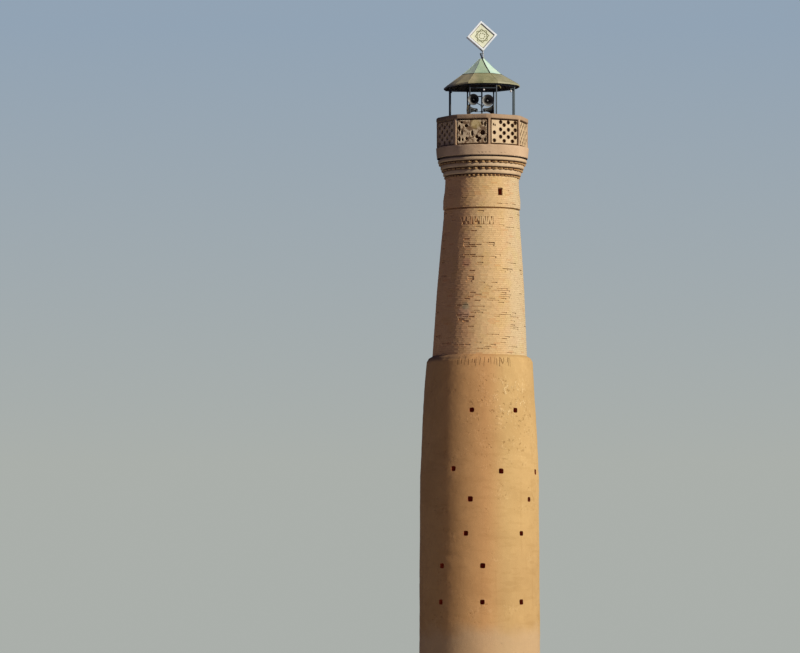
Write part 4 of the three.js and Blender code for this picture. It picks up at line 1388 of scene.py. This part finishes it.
class OBJECT_OT_minaret_pavilion(bpy.types.Operator):
    """Make the posts, the eave beam, the two slopes of the roof and what hangs under it"""

    bl_idname = "object.minaret_pavilion"
    bl_label = "Pavilion"

    columns = 12 * ROOF_STEPS
    lip = 0.02

    # Flange, sleeve and upper collar of a post: height, radius and how tall each is.
    collars = ((FLOOR_TOP, 0.055, 0.012), (FLOOR_TOP + 0.012, 0.031, 0.03),
               (BEAM_HEIGHT - 0.045, 0.03, 0.02))

    # The beam and the plate on it: height, width and how tall each is.
    beams = ((BEAM_HEIGHT, 0.036, 0.036), (BEAM_HEIGHT + 0.018, 0.05, 0.005))

    def execute(self, context):
        colours = context.scene.minaret_colours
        steel = paint_finish("painted_steel", colours.steel, facets=steel_facets)
        dress(steel, "horn_mast")
        skirt = paint_finish("skirt_sheet", colours.roof, rust=0.25, facets=skirt_facets)
        dark = underside_finish()
        cap = paint_finish("cap_sheet", colours.cap, rust=0.1, facets=cap_facets)
        self.frame(steel, dark)
        self.skirt(skirt, dark)
        self.cap(cap)
        self.seams(skirt, cap, dark)
        self.fittings(steel)
        return {"FINISHED"}

    def steps(self):
        return [ROOF_STEPS * i / self.columns for i in range(self.columns)]

    def skirt_lines(self, step):
        """The lines of the lower slope at a step: its outer face and its underside, from the eave up."""
        radius, height = EAVE["radius"], EAVE["height"]
        run = (radius - BREAK_RADIUS) / (BREAK_HEIGHT - height)
        outer = (roof_point(step, radius, height), roof_point(step, BREAK_RADIUS, BREAK_HEIGHT))
        inner = (roof_point(step, radius - self.lip, height - SHEET + self.lip / run),
                 roof_point(step, BREAK_RADIUS - SHEET * run, BREAK_HEIGHT))
        return outer, inner

    def skirt(self, material, dark):
        """The lower slope: fascia, dented sheets, underside and lip in one closed ring."""
        rows, points = 10, []
        foot = EAVE["height"] - EAVE["fascia"]
        for step in self.steps():
            outer, inner = self.skirt_lines(step)
            column = [roof_point(step, EAVE["radius"], foot), outer[0] - raised(0.006)]
            for row in range(rows + 1):
                point = outer[0].lerp(outer[1], row / rows)
                dent = noise.noise(point * 5) * 0.006 * math.sin(math.pi * row / rows)
                column.append(point + raised(dent))
            column += [inner[1].lerp(inner[0], row / 3) for row in range(4)]
            column.append(roof_point(step, EAVE["radius"] - self.lip, foot))
            points.extend(column)
        count = len(column)
        slots = ([0] * (rows + 2) + [1] * (count - rows - 2)) * self.columns
        sheets = Shape(points, ring_faces(self.columns, count), slots)
        piece = joined_mesh("roof_skirt_sheets", [sheets], material, dark, sharp=18)
        settle(piece, "skirt_sheet", "roof_skirt")

    def cap(self, material):
        """The upper slope, with dented sheets and its underside."""
        def ring(radius, height, dent=0):
            circle = [roof_point(step, radius, height) for step in self.steps()]
            return [point + raised(noise.noise(point * 6) * dent) for point in circle]

        outer = evenly(CAP_LINE, 0.045)
        inner = [(CAP_TIP_RADIUS - 0.02, CAP_TOP - 0.06), (CAP_MIDDLE[0] - 0.04, CAP_MIDDLE[1] - 0.02),
                 (BREAK_RADIUS - 0.045, BREAK_HEIGHT)]
        rings = [ring(*place) for place in inner + outer[:1]]
        rings += [ring(*place, dent=0.005) for place in outer[1:-1]] + [ring(*outer[-1])]
        tip = Vector((PAVILION_X, 0, CAP_TOP))
        shell = closed_skin(rings, tip - raised(0.06), tip)
        settle(joined_mesh("roof_cap_sheets", [shell], material, sharp=16), "cap_sheet", "roof_cap")

    def seams(self, skirt, cap, dark):
        """Standing seams, hip rolls, a flashing round the break and a strip beside one hip, both near-black:
        painted shade.
        """
        def hip(step, offset, width, height):
            return bars([roof_point(step, *place) + offset for place in CAP_LINE], width, height)

        wide, high, lift = 0.016, 0.003, raised(0.002)
        skirt_ribs, cap_ribs = [], []
        for step in range(0, ROOF_STEPS, 2):
            low, top = self.skirt_lines(step)[0]
            skirt_ribs.append(bar(low + lift, top + lift, wide, high))
            cap_ribs += hip(step, lift, wide * 0.8, high * 0.8)
        # Painted shade: near-black strips for the shadow lines beside the hip and round the break.
        trim = hip(0, Vector((-0.022, 0, 0.004)), 0.026, 0.014)
        line = [roof_point(step, BREAK_RADIUS + 0.006, BREAK_HEIGHT - 0.004) for step in range(ROOF_STEPS)]
        trim += bars(line, 0.016, 0.018, closed=True)
        settle(joined_mesh("skirt_seams", skirt_ribs, skirt), "skirt_sheet")
        settle(joined_mesh("cap_seams", cap_ribs, cap), "cap_sheet")
        settle(joined_mesh("roof_flashing", trim, dark), "skirt_sheet")

    def frame(self, steel, dark):
        """Posts on flanges, the beam on them, the rail, and rafters under the sheets."""
        shapes = []
        ways = [outwards(PAVILION_PHASE + i * 360 / SIDES) for i in range(SIDES)]
        corners = [way * POST_CIRCLE + Vector((PAVILION_X, 0, 0)) for way in ways]
        part = (POST_CIRCLE + POST_RADIUS - (EAVE["radius"] - self.lip)) / (BREAK_RADIUS - EAVE["radius"])
        for index, (corner, away) in enumerate(zip(corners, ways)):
            _, (low, high) = self.skirt_lines(2 * index)
            top = low.lerp(high, part).z - 0.004
            shapes.append(upright(corner + raised(FLOOR_TOP), top - FLOOR_TOP, POST_RADIUS, 20))
            for height, radius, tall in self.collars:
                shapes.append(upright(corner + raised(height), tall, radius, 20))
            side = Vector((-away.y, away.x, 0))
            for across, along in ((0.04, 0), (-0.04, 0), (0, 0.04), (0, -0.04)):
                bolt = corner + side * across + away * along + raised(FLOOR_TOP + 0.01)
                shapes.append(upright(bolt, 0.012, 0.006, 6))
        for height, width, tall in self.beams:
            shapes += bars([corner + raised(height) for corner in corners], width, tall, closed=True)
        rail = raised(RAIL_HEIGHT)
        shapes.append(bar(corners[-1] + rail, corners[0] + rail, 0.022, 0.026))
        settle(joined_mesh("pavilion_steelwork", shapes, steel, sharp=35), "painted_steel", "pavilion_frame")
        rafters = []
        drop = raised(-0.022)
        for step in range(ROOF_STEPS):
            _, (low, high) = self.skirt_lines(step)
            rafters.append(bar(low.lerp(high, 0.03) + drop, high.lerp(low, 0.03) + drop, 0.03, 0.035))
        settle(joined_mesh("roof_rafters", rafters, dark), "painted_steel")

    def fittings(self, steel):
        """Lamps, a hook and a shade under the eave."""
        white = paint_finish("lamp_white", (0.72, 0.70, 0.66), rust=0.05, roughness=0.3)
        ochre = paint_finish("hook_ochre", (0.33, 0.28, 0.11))
        bulb = [(0, -0.075), (0.018, -0.07), (0.03, -0.05), (0.032, -0.03), (0.022, -0.008), (0.014, 0.01),
                (0, 0.012)]
        shade = [(0, -0.006), (0.01, -0.006), (0.046, -0.075), (0.05, -0.075), (0.012, 0), (0, 0)]
        lamps, metal = [], []
        for place in LAMPS:
            lamps.append(turned(bulb, 16).placed(towards(place - raised(0.02), raised(1))))
            metal.append(upright(place - raised(0.015), 0.035, 0.016, 12))
        metal.append(bar(*LAMP_BRACKET, 0.016, 0.016))
        metal.append(turned(shade, 16).placed(towards(LAMP_SHADE, raised(1))))
        metal.append(upright(LAMP_SHADE - raised(0.01), 0.09, 0.008, 10))
        settle(joined_mesh("eave_lamps", lamps, white, sharp=180), "horn_grey")
        settle(joined_mesh("eave_fittings", metal, steel, sharp=35), "painted_steel")
        hook = [rod(start, end, 0.013, 10) for start, end in zip(HOOK, HOOK[1:])]
        settle(joined_mesh("eave_hook", hook, ochre, sharp=35), "painted_steel")


class OBJECT_OT_minaret_sign(bpy.types.Operator):
    """Make the diamond-shaped sign box on its pole, with a plain star on both faces"""

    bl_idname = "object.minaret_sign"
    bl_label = "Sign"

    def execute(self, context):
        white = paint_finish("sign_white", (0.92, 0.98, 1.0), rust=0.03)
        cream = paint_finish("sign_face", (0.87, 0.9, 0.67), rust=0.02)
        star = paint_finish("sign_star", (0.27, 0.28, 0.13), rust=0.05)
        # Painted shadow: the dark brown strip round the sheet.
        rim = paint_finish("sign_seal", (0.16, 0.09, 0.05), rust=0.1)
        place = Matrix.Translation(SIGN_FOOT) @ Matrix.Rotation(SIGN_TILT, 4, "Y")
        place = place @ Matrix.Rotation(SIGN_TURN, 4, "Z") @ Matrix.Translation((0, 0, SIGN["centre"]))
        box = joined_mesh("sign_box", [self.box().placed(place)], white, sharp=30)
        settle(box, "sign_white", "sign_frame")
        faces, stars, edge_shadows = [], [], []
        for side in (0, math.pi):
            turned_place = place @ Matrix.Rotation(side, 4, "Z")
            faces.append(self.sheet().placed(turned_place))
            stars.extend(shape.placed(turned_place) for shape in self.star())
            edge_shadows.extend(shape.placed(turned_place) for shape in self.edge_shadow())
        settle(joined_mesh("sign_sheets", faces, cream), "sign_face", "sign_panel_front", "sign_panel_rear")
        settle(joined_mesh("sign_stars", stars, star), "sign_face")
        settle(joined_mesh("sign_seals", edge_shadows, rim), "sign_face")
        dress(paint_finish("pole_grey", (0.42, 0.45, 0.47), rust=0.15), "finial_pole")
        return {"FINISHED"}

    def diamond(self, half, y):
        """The corners of the sign's square, which stands on one of them."""
        reach = half * math.sqrt(2)
        return [Vector((x * reach, y, z * reach)) for x, z in ((0, 1), (-1, 0), (0, -1), (1, 0))]

    def box(self):
        """The folded frame: a section of (half side, depth) carried round the four corners."""
        outer, inner, deep, fold = SIGN["side"] / 2, SIGN_INSIDE, SIGN["depth"] / 2, 0.006
        section = [(inner + fold, -deep), (outer - fold, -deep), (outer, -deep + fold), (outer, deep - fold),
                   (outer - fold, deep), (inner + fold, deep), (inner, deep - fold), (inner, -deep + fold)]
        points = [self.diamond(half, y)[corner] for corner in range(4) for half, y in section]
        return Shape(points, ring_faces(4, len(section)))

    def sheet(self):
        half = SIGN_INSIDE - 0.001
        points = self.diamond(half, SIGN_FACE) + self.diamond(half, SIGN_FACE + 0.01)
        faces = [(0, 1, 2, 3), (7, 6, 5, 4)]
        faces += [((i + 1) % 4, i, 4 + i, 4 + (i + 1) % 4) for i in range(4)]
        return Shape(points, faces)

    def star(self):
        """Two squares crossed, and a ring of eight small diamonds in them."""
        def at(degrees, reach):
            turn = math.radians(degrees)
            return Vector((math.cos(turn) * reach, SIGN_FACE - 0.001, math.sin(turn) * reach))

        shapes = []
        for start in (0, 45):
            shapes += bars([at(start + 90 * i, 0.23) for i in range(4)], 0.003, 0.024, closed=True)
        for i in range(8):
            degrees = 45 * i + 22.5
            turn = Euler((0, math.radians(45 - degrees), 0))
            shapes.append(block(at(degrees, 0.095), (0.04, 0.003, 0.04), turn))
        return shapes

    def edge_shadow(self):
        """A dark strip round the sheet inside the frame: painted shadow."""
        return bars(self.diamond(SIGN_INSIDE - 0.008, SIGN_FACE - 0.002), 0.004, 0.016, closed=True)


class OBJECT_OT_minaret_horns(bpy.types.Operator):
    """Turn the loudspeaker horns, and make their brackets and the foot of the mast"""

    bl_idname = "object.minaret_horns"
    bl_label = "Horns"

    def execute(self, context):
        # Painted shade: the horns' outsides and the linings deep in their bells are near-black.
        grey = paint_finish("horn_grey", (0.035, 0.038, 0.036), rust=0.12)
        inside = paint_finish("horn_inside", (0.028, 0.027, 0.026), rust=0.05, roughness=0.7)
        driver = paint_finish("horn_driver", (0.03, 0.032, 0.03), rust=0.15)
        for name, (mouth, azimuth, radius) in HORNS.items():
            place = Matrix.Translation(mouth) @ Matrix.Rotation(math.radians(azimuth), 4, "Z")
            bell = self.bell(radius).placed(place)
            # Painted light: the lower-left horn faces away from the sun, yet its flare and lining are painted
            # pale.
            painted_lit = name == "horn_lower_left"
            if painted_lit:
                flare = paint_finish(name + "_flare", (0.95, 0.97, 0.55), 0.02)
            else:
                # The front-left horn's flare is darker than the other flares.
                dimming = 0.65 if name == "horn_front_left" else 1
                paint = (0.21 * dimming, 0.22 * dimming, 0.21 * dimming)
                flare = paint_finish(name + "_flare", paint, 0.06, facets=flare_facets(mouth))
            lining = flare if painted_lit else inside
            horn = joined_mesh(name + "_bell", [bell], grey, lining, flare, sharp=50)
            settle(horn, "horn_grey", name)
            parts = [shape.placed(place) for shape in self.driver()]
            settle(joined_mesh(name + "_driver", parts, driver, sharp=35), "horn_grey")
        self.fixings(bpy.data.materials["painted_steel"], driver)
        return {"FINISHED"}

    def bell(self, mouth):
        """The flare, its rolled rim and the small horn inside; the mouth faces -Y."""
        throat, bell = HORN["throat"], HORN["bell"]
        wall, roll, columns = 0.005, 0.007, 40
        flare = []
        for i in range(9):
            part = i / 8
            flare.append((throat + (mouth - roll - throat) * part ** 1.7, bell * (1 - part)))
        inner = [(radius - wall, along) for radius, along in flare]
        plug = [(0, 0.045), (0.016, 0.046), (0.022, 0.056), (0.03, 0.1), (0.042, bell - 0.014)]
        rim = [(mouth - roll - 0.005, 0.002), (mouth - roll * 0.6, -0.001), (mouth, 0.004), (mouth, 0.012),
               (mouth - roll * 0.8, 0.016)]
        outer = list(reversed(flare))[1:]
        back = [(throat, bell + 0.012), (throat - 0.01, bell + 0.018), (0, bell + 0.018)]
        section = plug + inner[:-1] + rim + outer + back
        shape = turned(section, columns)
        tip, throat_end, rim_start = 2, len(plug) + len(inner) - 3, len(plug) + len(inner)

        def slot_at(row):
            """2 near the mouth and at the small horn's tip, 1 deeper inside, 0 on the rim and the back."""
            if row <= tip or throat_end <= row < rim_start:
                return 2
            return 1 if row < throat_end else 0

        shape.slots = [slot_at(row) for row in range(len(section) - 1)] * columns
        return shape

    def driver(self):
        """The can behind the throat, its cap and the stirrup that holds the horn."""
        bell, radius = HORN["bell"], HORN["driver"]
        end, stirrup = bell + HORN["driver_length"], bell + 0.055
        can = [(0, bell + 0.016), (radius - 0.004, bell + 0.016), (radius, bell + 0.022),
               (radius, end - 0.02), (radius - 0.008, end - 0.008), (radius - 0.012, end), (0, end)]
        shapes = [turned(can, 28)]
        for along in (bell + 0.03, end - 0.035):
            ring = [(0, along), (radius + 0.003, along), (radius + 0.003, along + 0.008), (0, along + 0.008)]
            shapes.append(turned(ring, 28))
        for side in (-1, 1):
            shapes.append(block(Vector((side * (radius + 0.006), stirrup, -0.02)), (0.004, 0.03, 0.075)))
            pivot = Vector((side * radius, stirrup, 0))
            shapes.append(rod(pivot, pivot + Vector((side * 0.016, 0, 0)), 0.009, 6))
        shapes.append(block(Vector((0, stirrup, -radius - 0.003)), (2 * radius + 0.016, 0.03, 0.004)))
        return shapes

    def fixings(self, steel, dark):
        """The mast's base plate and clamps, the collar and brace of the sign's pole, and a horn's stay."""
        mast = Vector((PAVILION_X, 0, 0))
        base = mast + raised(FLOOR_TOP)
        shapes = [block(base + raised(0.006), (0.18, 0.18, 0.012)), upright(base, 0.06, 0.034, 16)]
        for (_, _, height), _, _ in HORNS.values():
            clamp = mast + raised(height - HORN["driver"] - 0.006)
            shapes.append(block(clamp, (0.075, 0.06, 0.03)))
            for side in (-1, 1):
                bolt = clamp + Vector((side * 0.03, -0.04, 0))
                shapes.append(rod(bolt, bolt + Vector((0, 0.08, 0)), 0.006, 6))
        collar = SIGN_FOOT + raised(0.001)
        shapes.append(upright(collar, 0.05, 0.036, 16))
        brace_top = collar + Vector((-0.1, -0.04, 0.18))
        brace = [bar(brace_top, collar + Vector((-0.02, -0.055, -0.07)), 0.035, 0.045),
                 bar(brace_top, collar + Vector((0, -0.01, 0.18)), 0.016, 0.02)]
        settle(joined_mesh("pole_brace", brace, dark), "painted_steel")
        horn = Vector(HORNS["horn_front_left"][0])
        stay = [bar(mast + raised(horn.z + 0.25), horn + Vector((0.1, 0.28, 0.13)), 0.02, 0.04),
                bar(horn + Vector((0.1, 0.28, 0.14)), horn + Vector((0.075, 0.3, 0.05)), 0.02, 0.03)]
        settle(joined_mesh("horn_stay", stay, dark), "painted_steel")
        settle(joined_mesh("mast_fixings", shapes, steel, sharp=35), "painted_steel")


OPERATORS = (
    OBJECT_OT_minaret_stage,
    OBJECT_OT_minaret_plaster,
    OBJECT_OT_minaret_brickwork,
    OBJECT_OT_minaret_cornice,
    OBJECT_OT_minaret_parapet,
    OBJECT_OT_minaret_pavilion,
    OBJECT_OT_minaret_sign,
    OBJECT_OT_minaret_horns,
)


class VIEW3D_PT_minaret(bpy.types.Panel):
    """Steps and sizes of the minaret"""

    bl_label = "Minaret"
    bl_idname = "VIEW3D_PT_minaret"
    bl_space_type = "VIEW_3D"
    bl_region_type = "UI"
    bl_category = "Minaret"

    def draw(self, context):
        for operator in OPERATORS:
            self.layout.operator(operator.bl_idname)
        for group in (context.scene.minaret_sizes, context.scene.minaret_colours):
            box = self.layout.box()
            for name in group.__annotations__:
                box.prop(group, name)


CLASSES = (MinaretColours, MinaretSizes, *OPERATORS, VIEW3D_PT_minaret)


def register():
    for made in CLASSES:
        bpy.utils.register_class(made)
    bpy.types.Scene.minaret_colours = bpy.props.PointerProperty(type=MinaretColours)
    bpy.types.Scene.minaret_sizes = bpy.props.PointerProperty(type=MinaretSizes)


def unregister():
    del bpy.types.Scene.minaret_colours
    del bpy.types.Scene.minaret_sizes
    for made in reversed(CLASSES):
        bpy.utils.unregister_class(made)


def main():
    register()
    for operator in OPERATORS:
        group, name = operator.bl_idname.split(".")
        getattr(getattr(bpy.ops, group), name)()


if __name__ == "__main__":
    main()
